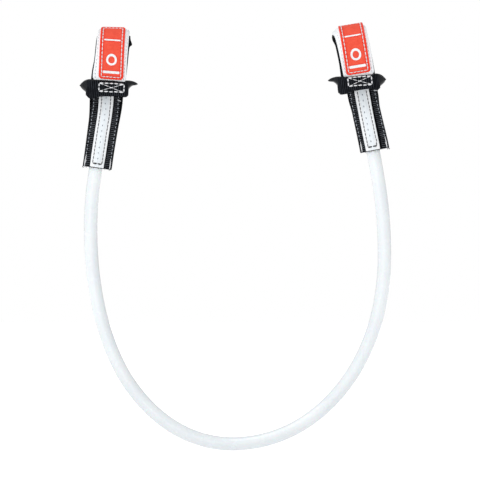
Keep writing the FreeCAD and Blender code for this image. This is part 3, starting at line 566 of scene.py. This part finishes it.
def orange_finish():
    """Moulded rubber: tone 1 on the dull stippled field, 0 on the bright smooth rim. The rim's darker, more
    saturated colour also covers most of the field's raised edge and the rubber round the bars, as painted shade
    there.
    """
    made = Nodes("orange_rubber", Specular_IOR_Level=0.35)
    tone = made.add("ShaderNodeAttribute", attribute_name="tone").outputs["Fac"]
    mottle = made.noise(made.place, 260, 3)
    field = made.mix(made.span(mottle, 0.3, 0.7), (0.895, 0.088, 0.043), (0.83, 0.072, 0.034))
    rim = made.mix(made.span(mottle, 0.3, 0.7), (0.9, 0.034, 0.005), (0.83, 0.027, 0.004))
    dots = made.cells(made.uv, 1.5)
    made.color(made.mix(tone, rim, made.mix(made.span(dots, 0.0, 0.22, 0.35, 0), field, (0.72, 0.07, 0.035))))
    made.rough(made.span(made.math("ADD", tone, mottle), 0.3, 1.6, 0.38, 0.62))
    stipple = made.times(made.span(dots, 0.05, 0.4), tone)
    made.bump(stipple, 0.06, 0.7, made.bump(mottle, 0.04, 0.4))
    return made.material


def white_rubber_finish():
    """Moulded white marks: a faint mottle and a fine grain."""
    made = Nodes("white_rubber", Specular_IOR_Level=0.4)
    mottle = made.noise(made.place, 300, 3)
    made.color(made.mix(made.span(mottle, 0.3, 0.75), (0.93, 0.95, 0.96), (0.82, 0.85, 0.87)))
    made.rough(made.span(mottle, 0.3, 0.7, 0.36, 0.52))
    made.bump(mottle, 0.05, 0.5)
    return made.material


def plastic_finish():
    """Satin black nylon: fine spark grain, faint scuffs, and edges that have gone paler."""
    made = Nodes("black_plastic", Specular_IOR_Level=0.2)
    scuff = made.noise(made.scaled(made.place, (1, 3, 1)), 130, 5, 0.65)
    edge = made.span(made.add("ShaderNodeNewGeometry").outputs["Pointiness"], 0.52, 0.6)
    worn = made.times(edge, made.span(scuff, 0.4, 0.65, 0.2, 1))
    body = made.mix(made.span(scuff, 0.45, 0.8), (0.008, 0.009, 0.011), (0.017, 0.019, 0.023))
    made.color(made.mix(worn, body, (0.06, 0.065, 0.075)))
    made.rough(made.span(scuff, 0.3, 0.75, 0.33, 0.55))
    made.bump(scuff, 0.08, 0.3, made.bump(made.noise(made.place, 2600, 2), 0.03, 0.5))
    return made.material


def tube_finish():
    """Glossy white polyurethane: faint clouding and a light skin of scuffs."""
    made = Nodes("white_tube", Specular_IOR_Level=0.55, Coat_Weight=0.35, Coat_Roughness=0.12,
                 Subsurface_Weight=0.08, Subsurface_Scale=0.004)
    scuff = made.noise(made.place, 160, 5, 0.6)
    cloud = made.noise(made.place, 22, 2)
    made.color(made.mix(made.span(cloud, 0.35, 0.65), (0.885, 0.925, 0.95), (0.845, 0.892, 0.923)))
    made.rough(made.span(scuff, 0.35, 0.7, 0.16, 0.32))
    made.bump(cloud, 0.1, 0.2, made.bump(scuff, 0.02, 0.3))
    return made.material


def rope_finish():
    """Braided rope: two sets of strands that cross."""
    made = Nodes("rope", Roughness=0.7, Sheen_Weight=0.3)
    across, along, up = made.parts(made.place)
    one = made.wave(made.math("ADD", across, up), 0.004)
    two = made.wave(made.math("SUBTRACT", across, up), 0.004)
    braid = made.math("MAXIMUM", one, two)
    made.color(made.mix(braid, (0.45, 0.45, 0.42), (0.82, 0.82, 0.8)))
    made.bump(braid, 0.3, 1.0)
    return made.material


BLACK, LEG_BLACK = (0.0036, 0.0042, 0.0056), (0.0016, 0.002, 0.0028)
# Painted highlight colours for the weave and rib tops of the strap, the keeper band and the legs
STRAP_HIGHLIGHT, BAND_HIGHLIGHT, LEG_HIGHLIGHT = (0.036, 0.039, 0.047), (0.042, 0.047, 0.058), (0.118, 0.127, 0.144)
BAND_RIB, LEG_RIB = 1.744, 1.72
strap_black = webbing_finish("black_webbing", BLACK, 0.9, 1.0, 0.12, STRAP_HIGHLIGHT)
band_black = webbing_finish("black_band", BLACK, 1.4, 0.7, 0.1, BAND_HIGHLIGHT, BAND_RIB)
leg_black = webbing_finish("ribbed_webbing", LEG_BLACK, 0.8, 0.9, 0.1, LEG_HIGHLIGHT, LEG_RIB, (7.2, 12.9))
leg_back_black = webbing_finish("ribbed_back", LEG_BLACK, 0.8, 0.9, 0.1, LEG_HIGHLIGHT, LEG_RIB, (-1.0, 12.9))
pile_black = pile_finish()
hook_black = hook_finish()
pad_white = pad_finish()
tape_white = tape_finish()
thread_white = thread_finish("white_thread", (0.95, 0.96, 0.97), (0.74, 0.76, 0.79))
thread_pale = thread_finish("pale_thread", (0.58, 0.62, 0.67), (0.42, 0.46, 0.52))
thread_dark = thread_finish("dark_thread", (0.035, 0.038, 0.044), (0.012, 0.013, 0.015))
thread_black = thread_finish("black_thread", (0.02, 0.021, 0.024), (0.006, 0.006, 0.007))
thread_grey = thread_finish("grey_thread", (0.28, 0.32, 0.37), (0.15, 0.17, 0.2))
orange = orange_finish()
rubber_white = white_rubber_finish()
plastic = plastic_finish()
tube_white = tube_finish()
rope_white = rope_finish()


# ---- camera and light

EYE = Vector((0.1153, -4.0, -0.168))
LENS, SENSOR = 333.3, 36.0
MIDDLE = Vector((0.11, 0.0, -0.16))
SKY_LIGHT, SKY_SEEN = 0.53, 1.0
KEY_SPOT, KEY_SIZE, KEY_POWER = (-0.55, -2.4, 0.45), 2.2, 11.4
SUN_SPOT, SUN_ANGLE, SUN_POWER = (-0.5, -0.5, 1.6), radians(50), 1.1
FLOOR, FLOOR_REACH = -0.41, 9.0
# The floor glows faintly, but less within this distance of the object, so that it lights it evenly
GLOW_FROM, GLOW_TO, GLOW_NEAR, GLOW_FAR = 0.28, 0.6, 0.06, 0.4


def add_lamp(name, kind, spot, power):
    """A lamp at a spot, turned to the middle of the object."""
    data = bpy.data.lights.new(name, kind)
    data.energy = power
    lamp = in_scene(name, data)
    lamp.location = spot
    lamp.rotation_euler = (MIDDLE - lamp.location).to_track_quat("-Z", "Y").to_euler()
    return data


def floor_finish():
    made = Nodes("floor", Roughness=0.9, Emission_Color=(1, 1, 1, 1))
    x, y, _ = made.parts(made.place)
    aside = made.math("SUBTRACT", x, MIDDLE.x)
    away = made.math("SQRT", made.math("ADD", made.math("POWER", aside, 2.0), made.math("POWER", y, 2.0)))
    glow = made.span(away, GLOW_FROM, GLOW_TO, GLOW_NEAR, GLOW_FAR)
    made.feed(made.shader.inputs["Emission Strength"], glow)
    made.color(made.mix(made.noise(made.place, 4, 2), (0.93, 0.935, 0.94), (0.95, 0.953, 0.957)))
    return made.material


camera = in_scene("camera", bpy.data.cameras.new("camera"))
camera.location = EYE
camera.rotation_euler = (radians(90), 0, 0)
camera.data.sensor_width = SENSOR
camera.data.lens = LENS
bpy.context.scene.camera = camera
bpy.context.scene.view_settings.view_transform = "Standard"

world = bpy.data.worlds.new("studio")
world.use_nodes = True
nodes, links = world.node_tree.nodes, world.node_tree.links
sky = nodes["Background"]
sky.inputs["Color"].default_value = (1, 1, 1, 1)
ray = nodes.new("ShaderNodeLightPath")
seen = nodes.new("ShaderNodeMapRange")
seen.inputs["To Min"].default_value = SKY_LIGHT
seen.inputs["To Max"].default_value = SKY_SEEN
links.new(ray.outputs["Is Camera Ray"], seen.inputs["Value"])
links.new(seen.outputs[0], sky.inputs["Strength"])
bpy.context.scene.world = world
add_lamp("key", "AREA", KEY_SPOT, KEY_POWER).size = KEY_SIZE
add_lamp("sun", "SUN", SUN_SPOT, SUN_POWER).angle = SUN_ANGLE

corners = [(x * FLOOR_REACH, y * FLOOR_REACH, FLOOR) for x, y in ((-1, -1), (1, -1), (1, 1), (-1, 1))]
floor = make_mesh("floor", corners, [(0, 1, 2, 3)], floor_finish())
floor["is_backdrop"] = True

# ---- the line

ROUTE = [
    (-13.9, -98.4), (-14.6, -103.4), (-18.5, -131.0), (-19.5, -168.0), (-16.2, -210.0), (-6.4, -254.0),
    (14.0, -298.5), (49.5, -335.5), (93.0, -353.0), (139.5, -349.5), (180.3, -330.0), (214.3, -295.0),
    (236.5, -250.0), (245.4, -204.0), (245.3, -160.0), (241.6, -124.0), (235.4, -89.4), (234.6, -84.5),
]
TUBE_ROUTE = [Vector((across, 0.0, up)) * MM for across, up in ROUTE]
TUBE_RADIUS = 6.0
# The tube is a round cord on one smooth spline with the route's points as its control points
curve = bpy.data.curves.new("tube", "CURVE")
curve.dimensions = "3D"
curve.resolution_u = 16
curve.bevel_depth = TUBE_RADIUS * MM
curve.bevel_resolution = 10
curve.use_fill_caps = True
curve.materials.append(tube_white)
spline = curve.splines.new("NURBS")
spline.points.add(len(TUBE_ROUTE) - 1)
for point, spot in zip(spline.points, TUBE_ROUTE):
    point.co = (*spot, 1.0)
spline.order_u = 3
spline.use_endpoint_u = True
tube = in_scene("tube", curve)
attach(tube, "line_body")
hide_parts("line_tube")

rope_node = frame["nodes"]["core_rope"]
rope_node.data.materials.clear()
rope_node.data.materials.append(rope_white)
tuple(TUBE_ROUTE[0])


# ---- strap, tapes, pad and patch

def fit(obj, end, carry, node=None):
    """Hand a piece to its carry function, and hide the CAD node it stands for, if any."""
    carry(obj, end)
    if node:
        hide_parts(end.name + "_" + node)


def ride_strap(obj, end):
    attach(obj, end.name + "_strap_body")


def sew(end, name, thread, runs, radius, carry, node=None, **look):
    fit(threads(end.name + name, thread, runs, radius, **look), end, carry, node)


def bend_tab(obj, end):
    """Bake the piece's transform into its mesh."""
    end.wrap(0, HINGE + 5.6, 18.2)
    end.wrap(0, HINGE - 10.5, 18.2)
    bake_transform(obj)


def pile_tufts(a, p, depth):
    return 0.1 * sin(a * 3.1 + 1.3 * sin(p * 2.3)) * sin(p * 3.7 + sin(a * 1.9))


def pad_puff(a, p, depth):
    """Relief of the pad: a soft crown, the seam's hollow, and slight wrinkles."""
    seam = -0.4 * exp(-((depth - PAD_SEWN) / 0.35) ** 2)
    wrinkle = 0.07 * sin(p * 0.9 + 0.3 * a) * ease(0, 6, depth)
    return 0.35 * ease(0.5, 6, depth) + seam + wrinkle


def patch_height(depth):
    """Relief of the patch: bright rim, stitched groove, then the field with its own raised edge."""
    rim = 0.34 * (1 - ease(1.5, 2.0, depth))
    groove = -0.5 * ease(1.7, 2.2, depth) * (1 - ease(2.8, 3.3, depth))
    lip = 0.12 * ease(2.9, 3.3, depth) * (1 - ease(3.9, 4.5, depth))
    return rim + groove + lip - 0.12 * ease(3.9, 4.6, depth)


def build_loop(end):
    """The boom strap of one end, its two tapes, its pad, and the patch with its marks and seams."""
    name, here = end.name, end.side
    foot, top, patch_foot = PAD_FOOT[here], PATCH_TOP[here], PATCH_FOOT[here]
    bar_at, ring_at, label_at = PATCH_MARKS[here]

    def on_strap(a, p, r):
        return end.wrap(a + through(STRAP_LIE[here], p), p, r)

    def pad_half(p):
        return through(PAD_HALF[here], p)

    def crest_rise(a, p):
        return CREST_RISE[here] * max(0.0, a + 11) * ease(32, 6, abs(p))

    def on_pad(a, p, r):
        wide = pad_half(p)
        droop = PAD_DROOP[here][0 if a < 0 else 1] * ease(wide - 5.5, wide, abs(a))
        return end.wrap(a + through(PAD_LIE[here], p), p, r - droop + crest_rise(a, p))

    def on_patch(a, p, r):
        return end.wrap(a + through(PATCH_LIE[here], p), p, r + crest_rise(a, p))

    def near_bars(a, p):
        """1 close to the raised bars, where the rubber dips and takes the rim's darker, more saturated colour as
        painted shade.
        """
        return max(1 - ease(0.2, 0.9, max(abs(p - at) - half, abs(a) - MARK_HALF))
                   for at, half in ((bar_at, 0.9), (label_at, LABEL_HALF)))

    def ring_outline(turn):
        """The ring's rounded cross-section at one angle round it."""
        points = []
        for angle in circle(RING_POINTS):
            out = RING_RADIUS + RING_HALF * squash(cos(angle), 0.6)
            height = PATCH_RADII[1] + RING_RAISE * squash(sin(angle), 0.6)
            points.append(on_patch(out * cos(turn), ring_at + out * sin(turn), height))
        return points

    strap = layer(name + "_strap", strap_black, -STRAP_END, STRAP_END, lambda p: through(STRAP_HALF, p),
                  *STRAP_RADII, on_strap, edge=0.8, corner=0.9)
    fit(strap, end, ride_strap, "boom_strap")
    pile = layer(name + "_loops", pile_black, LOOPS_BACK, HINGE - 0.4, LOOPS_HALF, *LOOPS_RADII, on_strap,
                 edge=0.45, pitch=0.8, across=30, relief=pile_tufts)
    fit(pile, end, ride_strap, "loop_tape")
    hooks = layer(name + "_hooks", hook_black, PAD_BACK + 0.8, HINGE - 0.2, HOOKS_HALF, *HOOKS_RADII, on_pad,
                  edge=0.4)
    fit(hooks, end, bend_tab, "hook_tape")
    pad = layer(name + "_pad", pad_white, PAD_BACK, foot, pad_half, *PAD_RADII, on_pad, edge=1.35,
                corner=5.0, pitch=0.9, fine=(1.5, 1.8, 2.1, 2.4, 2.7, 3.4, 4.5), relief=pad_puff)
    fit(pad, end, bend_tab, "tab_pad")
    runs = []
    for aside in (PAD_SEWN - pad_half(foot), pad_half(foot) - PAD_SEWN):
        runs += stitch_row(on_pad, [(aside, PAD_BACK + 5), (aside, foot - 3)], 22.0, 2.0, 1.3, wander=0.06)
    sew(end, "_pad_seam", thread_pale, runs, 0.24, bend_tab, sides=6, lift=0.4)

    # The tone gives the rim's colour to most of the field's raised edge and to the rubber round the bars: painted
    # shade there
    patch = layer(name + "_patch", orange, top, patch_foot, PATCH_HALF, *PATCH_RADII, on_patch,
                  corner=3.2, pitch=0.6, across=26,
                  fine=(0.3, 0.6, 1.0, 1.4, 1.7, 1.95, 2.2, 2.5, 2.8, 3.05, 3.3, 3.6, 3.9, 4.2, 4.6),
                  relief=lambda a, p, depth: patch_height(depth) - 0.16 * near_bars(a, p),
                  tone=lambda a, p, depth: ease(3.3, 4.3, depth) * (1 - 0.9 * near_bars(a, p)))
    fit(patch, end, bend_tab, "grip_patch")
    bar = layer(name + "_bar", rubber_white, bar_at - BAR_HALF, bar_at + BAR_HALF, MARK_HALF, *BAR_RADII,
                on_patch, edge=0.35, corner=0.8, pitch=0.3)
    fit(bar, end, bend_tab, "patch_bar")
    ring = skin(name + "_ring", [ring_outline(turn) for turn in circle(RING_STEPS)], rubber_white, loop=True,
                coords=[(part, step) for step in range(RING_STEPS) for part in range(RING_POINTS)])
    fit(ring, end, bend_tab, "patch_badge")
    label = layer(name + "_label", rubber_white, label_at - LABEL_HALF, label_at + LABEL_HALF, MARK_HALF,
                  *LABEL_RADII, on_patch, edge=0.35, corner=0.7, pitch=0.4)
    fit(label, end, bend_tab)

    side, low, high, turn = PATCH_HALF - PATCH_SEWN, patch_foot - PATCH_SEWN, top + PATCH_SEWN, 0.75
    loop = [(-side, high + turn), (-side, low - turn), (-side + 0.3, low - 0.25), (-side + turn, low),
            (side - turn, low), (side - 0.3, low - 0.25), (side, low - turn), (side, high + turn),
            (side - 0.3, high + 0.25), (side - turn, high), (-side + turn, high),
            (-side + 0.3, high + 0.25), (-side, high + turn)]
    runs = []
    for first, last in ((0, 1), (1, 3), (3, 4), (4, 6), (6, 7), (7, 9), (9, 10), (10, 12)):
        runs += stitch_row(on_patch, loop[first:last + 1], 23.25, 2.85, 0.35, wander=0.05)
    sew(end, "_patch_stitches", thread_white, runs, 0.5, bend_tab, lift=0.6)


# ---- saddle and keeper band

SADDLE_TURN = (radians(-1.5), radians(3.9))
SADDLE_SHIFT = (-1.7, -0.7)
SADDLE_RAISE = (-0.3, 1.3)
BAND_TOP = (-25.6, -23.6)
BAND_BASE = ([(-18.8, -39.4), (-17.0, -41.0), (-14, -41.9), (-10, -41.2), (-5, -39.8), (12, -38.8),
              (17.2, -38.5), (18.8, -37.6)],
             [(-18.8, -36.9), (-16.8, -38.3), (-11, -38.0), (-5, -36.3), (9, -36.1), (14, -37.4),
              (17, -37.7), (18.8, -36.4)])
LAP_BASE = (-38.0, -35.6)
BOX_SPOT = ((3.9, -31.4), (0.9, -28.6))
BOX_HALF = ((10.9, 3.6), (10.5, 3.8))
SADDLE_PIVOT = -30.0
CORE_HALF, CORE_DEPTH, BAND_CORNER = 18.8, 14.5, 8.5
BAND_STEPS, CORE_STEPS, FLANGE_PARTS = 68 * 8, 96, 48


def in_saddle(end, across, back, up):
    """A point in the saddle's own frame, which sits a little crooked on the strap."""
    turn = SADDLE_TURN[end.side]
    across, up = across + SADDLE_SHIFT[end.side], up - SADDLE_PIVOT
    turned = across * cos(turn) + up * sin(turn)
    raised = up * cos(turn) - across * sin(turn)
    return end.at(turned, back, raised + SADDLE_PIVOT)


# Front outline and plan of the flange by distance outwards from its middle
FLANGE_TOP = [(-27.2, -25.9), (-26.2, -25.2), (-23.5, -24.0), (-19.0, -23.3), (-10, -23.0), (10, -23.0),
              (15.5, -23.4), (20.5, -25.2), (23.4, -27.6), (25.0, -29.6)]
FLANGE_BASE = [(-27.2, -26.4), (-26.2, -27.0), (-22.5, -27.9), (-20.0, -30.0), (-18.0, -33.0), (-12, -33.5),
               (12, -34.0), (18.0, -36.0), (21.0, -34.4), (23.5, -32.2), (25.0, -30.4)]
FLANGE_HALF = [(-27.2, 0.9), (-26.2, 1.9), (-22, 5.6), (-17, 9.8), (-10, 13.4), (-4, 14.2), (4, 14.2),
               (10, 13.4), (17, 10.2), (21.5, 6.4), (25.0, 2.0)]


def flange(end):
    """The saddle's moulded top, with its pointed wing each way along the boom."""
    rings, coords = [], []
    for out in steps(FLANGE_TOP[0][0], FLANGE_TOP[-1][0], 0.6):
        high, low = through(FLANGE_TOP, out), through(FLANGE_BASE, out)
        half = through(FLANGE_HALF, out)
        power = 2 / (2.4 + 2.2 * ease(26, 12, abs(out)))
        ring = []
        for part, angle in enumerate(circle(FLANGE_PARTS)):
            back, up = half * squash(cos(angle), power), squash(sin(angle), power)
            dip = 1.2 * (1 - (back / half) ** 2) * ease(0, 0.6, sin(angle)) * ease(20, 12, abs(out))
            up = (high + low) / 2 + up * (high - low) / 2 - dip + SADDLE_RAISE[end.side]
            ring.append(in_saddle(end, end.outward * out, back, up))
            coords.append((out, part))
        rings.append(ring)
    return skin(end.name + "_saddle", rings, plastic, coords)


def round_path(distance, half_w, half_d, corner):
    """Point and outward direction on a rounded rectangle, by distance round it from the front's middle."""
    flat_w, flat_d, arc = half_w - corner, half_d - corner, pi / 2 * corner
    quarter = [flat_w, arc, 2 * flat_d, arc, 2 * flat_w, arc, 2 * flat_d, arc, flat_w]
    distance %= sum(quarter)
    starts = [(0, -half_d, 0), (flat_w, -flat_d, 0), (half_w, -flat_d, 90), (flat_w, flat_d, 90),
              (flat_w, half_d, 180), (-flat_w, flat_d, 180), (-half_w, flat_d, 270),
              (-flat_w, -flat_d, 270), (-flat_w, -half_d, 360)]
    for index, length in enumerate(quarter):
        if distance <= length or index == len(quarter) - 1:
            break
        distance -= length
    x, y, turned = starts[index]
    angle = radians(turned)
    if index % 2:
        angle += distance / corner
        return x + corner * sin(angle), y - corner * cos(angle), sin(angle), -cos(angle)
    return x + distance * cos(angle), y + distance * sin(angle), sin(angle), -cos(angle)


def girth(half_w, half_d, corner):
    """Length round a rounded rectangle."""
    return 4 * (half_w - corner) + 4 * (half_d - corner) + 2 * pi * corner


def on_band(end, up, distance, height):
    """A point at a height off the band's outer face."""
    x, y, nx, ny = round_path(distance, CORE_HALF, CORE_DEPTH, BAND_CORNER)
    return in_saddle(end, x + nx * height, y + ny * height, up)


def up_band(end, share, distance):
    """Height on the band: the share runs from -1 at its lower edge to 1 at its upper edge."""
    base = through(BAND_BASE[end.side], round_path(distance, CORE_HALF, CORE_DEPTH, BAND_CORNER)[0])
    return (base + BAND_TOP[end.side]) / 2 + share * (BAND_TOP[end.side] - base) / 2


def band_ribs(distance):
    return 0.5 + 0.5 * cos(2 * pi * distance / BAND_RIB)


def keeper_band(end):
    around = girth(CORE_HALF, CORE_DEPTH, BAND_CORNER)
    rings, coords = [], []
    for step in range(BAND_STEPS):
        distance = around * step / BAND_STEPS
        rib = 0.3 * band_ribs(distance)
        outline = [(share, rib * (1 - share ** 8)) for share in
                   (-0.93, -0.8, -0.55, -0.3, 0, 0.3, 0.55, 0.8, 0.93)]
        outline += [(0.98, -0.2), (1.0, -0.7), (0.98, -1.2), (0.9, -1.45), (-0.9, -1.45), (-0.98, -1.2),
                    (-1.0, -0.7), (-0.98, -0.2)]
        rings.append([on_band(end, up_band(end, share, distance), distance, height)
                      for share, height in outline])
        coords += [(share * 6.4, distance) for share, _ in outline]
    return skin(end.name + "_band", rings, band_black, coords, loop=True)


def core(end):
    """The block inside the band, with the slot that the legs come out of in its base."""
    rings, coords = [], []
    for half_w, half_d, up in ((CORE_HALF - 1.6, CORE_DEPTH - 1.6, -27.0),
                               (CORE_HALF - 1.6, CORE_DEPTH - 1.6, -36.2),
                               (CORE_HALF - 2.1, CORE_DEPTH - 2.1, -37.0),
                               (CORE_HALF - 3.0, CORE_DEPTH - 3.0, -37.3),
                               (15.4, 4.2, -37.3), (15.0, 3.8, -37.0), (15.0, 3.8, -33.0)):
        corner = min(6.9, half_d - 0.1)
        ring = []
        for step in range(CORE_STEPS):
            distance = girth(half_w, half_d, corner) * step / CORE_STEPS
            x, y, _, _ = round_path(distance, half_w, half_d, corner)
            ring.append(in_saddle(end, x, y, up + SADDLE_RAISE[end.side]))
            coords.append((distance, up))
        rings.append(ring)
    return skin(end.name + "_core", rings, plastic, coords)


def build_saddle(end):
    """The saddle of one end, its block, and the keeper band with its lap and box-X seam."""
    fit(flange(end), end, ride_strap, "saddle")
    fit(core(end), end, ride_strap)
    fit(keeper_band(end), end, ride_strap, "keeper_band")

    box_at, box_up = BOX_SPOT[end.side]
    lap_top = BAND_TOP[end.side] - 0.6
    lap_middle = (lap_top + LAP_BASE[end.side]) / 2

    def on_lap(up, distance, height):
        return on_band(end, up + lap_middle, distance, height)

    lap = layer(end.name + "_lap", band_black, box_at - 13.0, box_at + 13.2, lap_top - lap_middle, -0.5, 1.2,
                on_lap, corner=0.9, pitch=0.22, across=12,
                relief=lambda up, distance, depth: 0.22 * band_ribs(distance) * ease(0.3, 0.9, depth))
    fit(lap, end, ride_strap)

    up = box_up - lap_middle
    half_w, half_h = BOX_HALF[end.side]
    corners = [(up - half_h, box_at - half_w), (up - half_h, box_at + half_w),
               (up + half_h, box_at + half_w), (up + half_h, box_at - half_w)]
    box, cross = [], []
    for first, last in ((0, 1), (1, 2), (2, 3), (3, 0)):
        box += stitch_row(on_lap, [corners[first], corners[last]], 1.2, 3.7, 0.7, 0.2, samples=7)
    for first, last in ((0, 2), (1, 3)):
        cross += stitch_row(on_lap, [corners[first], corners[last]], 1.35, 4.1, 0.35, 0.12, samples=9)
    sew(end, "_box_stitches", thread_white, box, 0.58, ride_strap, "keeper_stitching", lift=0.55)
    sew(end, "_cross_stitches", thread_white, cross, 0.3, ride_strap, lift=0.4)


# ---- legs

LEG_TOP = ((-4.6, -34.8), (224.6, -31.7))
LEG_FOOT = ((-14.0, -103.2), (236.0, -87.6))
LEG_TURN = ((0.0, -8.0), (10.0, 10.7))
LEG_HALF = ([(0, 15.1), (8, 14.9), (30, 13.6), (70, 13.1)],
            [(0, 13.8), (8, 13.7), (20, 12.8), (57, 13.2)])
LEG_DRIFT = ((-0.3, 0.7), (0.3, 0.7))
STRIPE_DRIFT = ((0.0, -0.3), (-0.6, -1.7))
# How softly the webbings come together, where they are sewn, and where the seam rows show
HULL_SOFT = 1.5
SEWN_AT, SEAM_AT, ROW_AT, STRIPE_HALF = 10.6, 10.9, 4.0, 6.7
KNOT_AT = (7.2, 4.0)
FIBRES = 26
WEBBING_THICK, STRIPE_THICK, LEG_GAP = 1.9, 0.9, 0.05


class Leg:
    """The sewn sleeve between a saddle and the tube: u is the length down its centreline in mm."""

    def __init__(self, end):
        self.end = end
        (x0, z0), (x1, z1) = LEG_TOP[end.side], LEG_FOOT[end.side]
        reach = hypot(x1 - x0, z1 - z0)
        first, last = (radians(turn) for turn in LEG_TURN[end.side])
        self.spots, self.length = [], 0.0
        for t in steps(0, 1, 1 / 240):
            a, b = 2 * t ** 3 - 3 * t ** 2 + 1, t ** 3 - 2 * t ** 2 + t
            c, d = 3 * t ** 2 - 2 * t ** 3, t ** 3 - t ** 2
            x = a * x0 + b * reach * sin(first) + c * x1 + d * reach * sin(last)
            z = a * z0 - b * reach * cos(first) + c * z1 - d * reach * cos(last)
            if self.spots:
                self.length += hypot(x - self.spots[-1][1], z - self.spots[-1][2])
            self.spots.append((self.length, x, z))

    def centre(self, u):
        """Centreline point and the direction across, at a length down the leg."""
        index = 0
        while index < len(self.spots) - 2 and self.spots[index + 1][0] < u:
            index += 1
        (u0, x0, z0), (u1, x1, z1) = self.spots[index:index + 2]
        share = (u - u0) / (u1 - u0)
        run = hypot(x1 - x0, z1 - z0)
        return (x0 + (x1 - x0) * share, z0 + (z1 - z0) * share, -(z1 - z0) / run, (x1 - x0) / run)

    def bulge(self, u):
        """Radius of what the two webbings close over: the rope, then the end of the tube."""
        return through([(0, 0.25), (26, 3.2), (self.length - 13, 3.2), (self.length - 3, 6.15),
                        (self.length + 9, 6.3)], u)

    def hull(self, aside, radius):
        """Height of the webbing's inner face off the middle, and its slope across."""
        lean = asin(radius / SEWN_AT)
        touch = radius * sin(lean)
        if aside < touch:
            rise = sqrt(radius ** 2 - aside ** 2)
            return rise, -aside / rise
        left, near = SEWN_AT - aside, SEWN_AT - touch
        root = hypot(left, HULL_SOFT)
        scale = near / ((near + hypot(near, HULL_SOFT)) / 2) * tan(lean)
        return (left + root) / 2 * scale, -(1 + left / root) / 2 * scale

    def place(self, side):
        """A layer's placing function on the front (-1) or the back (1) of the leg."""
        def put(aside, u, height):
            x, z, across_x, across_z = self.centre(u)
            bulge = self.bulge(u)
            if abs(aside) < SEWN_AT:
                slack = 0.055 * bulge
                aside *= 1 - slack + slack * (aside / SEWN_AT) ** 4
            rise, slope = self.hull(abs(aside), bulge)
            long = hypot(1, slope)
            out = copysign(-slope / long, aside) * height
            early, late = LEG_DRIFT[self.end.side]
            across = aside + out + early + (late - early) * ease(self.length - 40, self.length, u)
            return Vector((x + across * across_x, side * (rise + height / long + LEG_GAP),
                           z + across * across_z)) * MM
        return put


def bend_leg(obj, end):
    """Bake the leg piece's transform into its mesh."""
    foot_x, foot_z = LEG_FOOT[end.side]
    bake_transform(obj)


def back_ribs(aside, u, depth):
    return 0.2 * cos(2 * pi * u / LEG_RIB) * ease(0.9, 1.6, depth)


def front_ribs(aside, u, depth):
    """The front's ribs start beside the stripe, which lies flat."""
    return back_ribs(aside, u, depth) * ease(7.4, 8.2, abs(aside))


def fray_fibres(end, leg):
    """Short loose fibres round the leg's cut end, most of them at its outer corner."""
    runs = []
    for number in range(FIBRES):
        side = random.choice((-1, 1))
        aside = random.uniform(-12.6, 12.6)
        if number % 3 == 0:
            aside = 12.9 * end.outward
        height = random.uniform(0.4, 1.5)
        reach, curl = random.uniform(0.5, 1.5), random.uniform(-0.9, 0.9)
        put = leg.place(side)
        runs.append([(put(aside + curl * share * share, leg.length - 0.7 + (0.7 + reach) * share, height),
                      Vector((0, side, 0))) for share in steps(0, 1, 0.2)])
    return runs


def build_leg(end):
    """The two webbings of one leg, its stripe, its rows of stitches, loose tails and frayed end."""
    leg = Leg(end)
    front, back, stop = leg.place(-1), leg.place(1), leg.length
    early, late = STRIPE_DRIFT[end.side]

    def on_stripe(aside, u, height):
        return front(aside + early + (late - early) * ease(0, stop, u), u, height)

    for put, node, black, ribs, last in ((front, "leg_front_webbing", leg_black, front_ribs, stop),
                                         (back, "leg_back_webbing", leg_back_black, back_ribs, stop - 0.4)):
        web = layer(end.name + "_" + node, black, 0.0, last, lambda u: through(LEG_HALF[end.side], u),
                    0.0, WEBBING_THICK, put, edge=0.6, corner=0.7, pitch=0.28, relief=ribs,
                    fine=(0.9, 1.2, 1.6, 2.4, 3.4, 4.4, 5.2, 5.8, 6.4))
        fit(web, end, bend_leg, node)
    outer = WEBBING_THICK + STRIPE_THICK
    stripe = layer(end.name + "_stripe", tape_white, 1.0, stop - 0.6, STRIPE_HALF, WEBBING_THICK - 0.05,
                   outer, on_stripe, edge=0.45, corner=0.6, pitch=0.8, across=20)
    fit(stripe, end, bend_leg, "leg_stripe")

    sunk = WEBBING_THICK + 0.1
    whites, tails, rows = [], [], []
    for flank in (-1, 1):
        sewn, row = flank * SEAM_AT, flank * ROW_AT
        for put, last in ((front, stop - 10.5), (back, stop - 1.2)):
            whites += stitch_row(put, [(sewn, 2.0), (sewn, last)], sunk, 1.8, 1.6, wander=0.2)
        for shift, reach in ((0.0, 10.6), (0.55, 6.0)):
            tails += stitch_row(front, [(sewn - flank * shift, stop - reach), (sewn - 0.3, stop - 0.4)],
                                WEBBING_THICK + 0.15, reach - 0.8, 0.3, wander=0.2, samples=13)
        rows += stitch_row(on_stripe, [(row, 2.0), (row, stop - 3.9)], outer, 3.1, 0.3, wander=0.04)
    knot = KNOT_AT[end.side]
    tails += stitch_row(front, [(10.0, knot - 0.6), (13.4, knot + 0.5)], sunk, 3.4, 0.1, samples=7)
    dots = stitch_row(on_stripe, [(0.0, 3.0), (0.0, stop - 6.0)], outer, 1.5, 3.7, wander=0.25)
    last_row = [(-4.3, stop - 3.8), (4.3, stop - 3.8)]
    ends = stitch_row(on_stripe, last_row, outer, 3.9, 0.4, wander=0.2, samples=7)
    sew(end, "_leg_stitches", thread_pale, whites, 0.29, bend_leg, "leg_stitching")
    for name, thread, runs, radius in (("tail", thread_white, tails, 0.4), ("row", thread_dark, rows, 0.39),
                                       ("dot", thread_grey, dots, 0.36), ("end", thread_black, ends, 0.7)):
        sew(end, "_leg_" + name, thread, runs, radius, bend_leg, sides=6)
    fray = threads(end.name + "_fray", leg_black, fray_fibres(end, leg), 0.13, sides=5, lift=0.0)
    fit(fray, end, bend_leg)


for build in (build_loop, build_saddle, build_leg):
    for end in ENDS:
        build(end)

# ---- finish

[[list(corner) for corner in box] for box in (cad_box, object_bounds())]
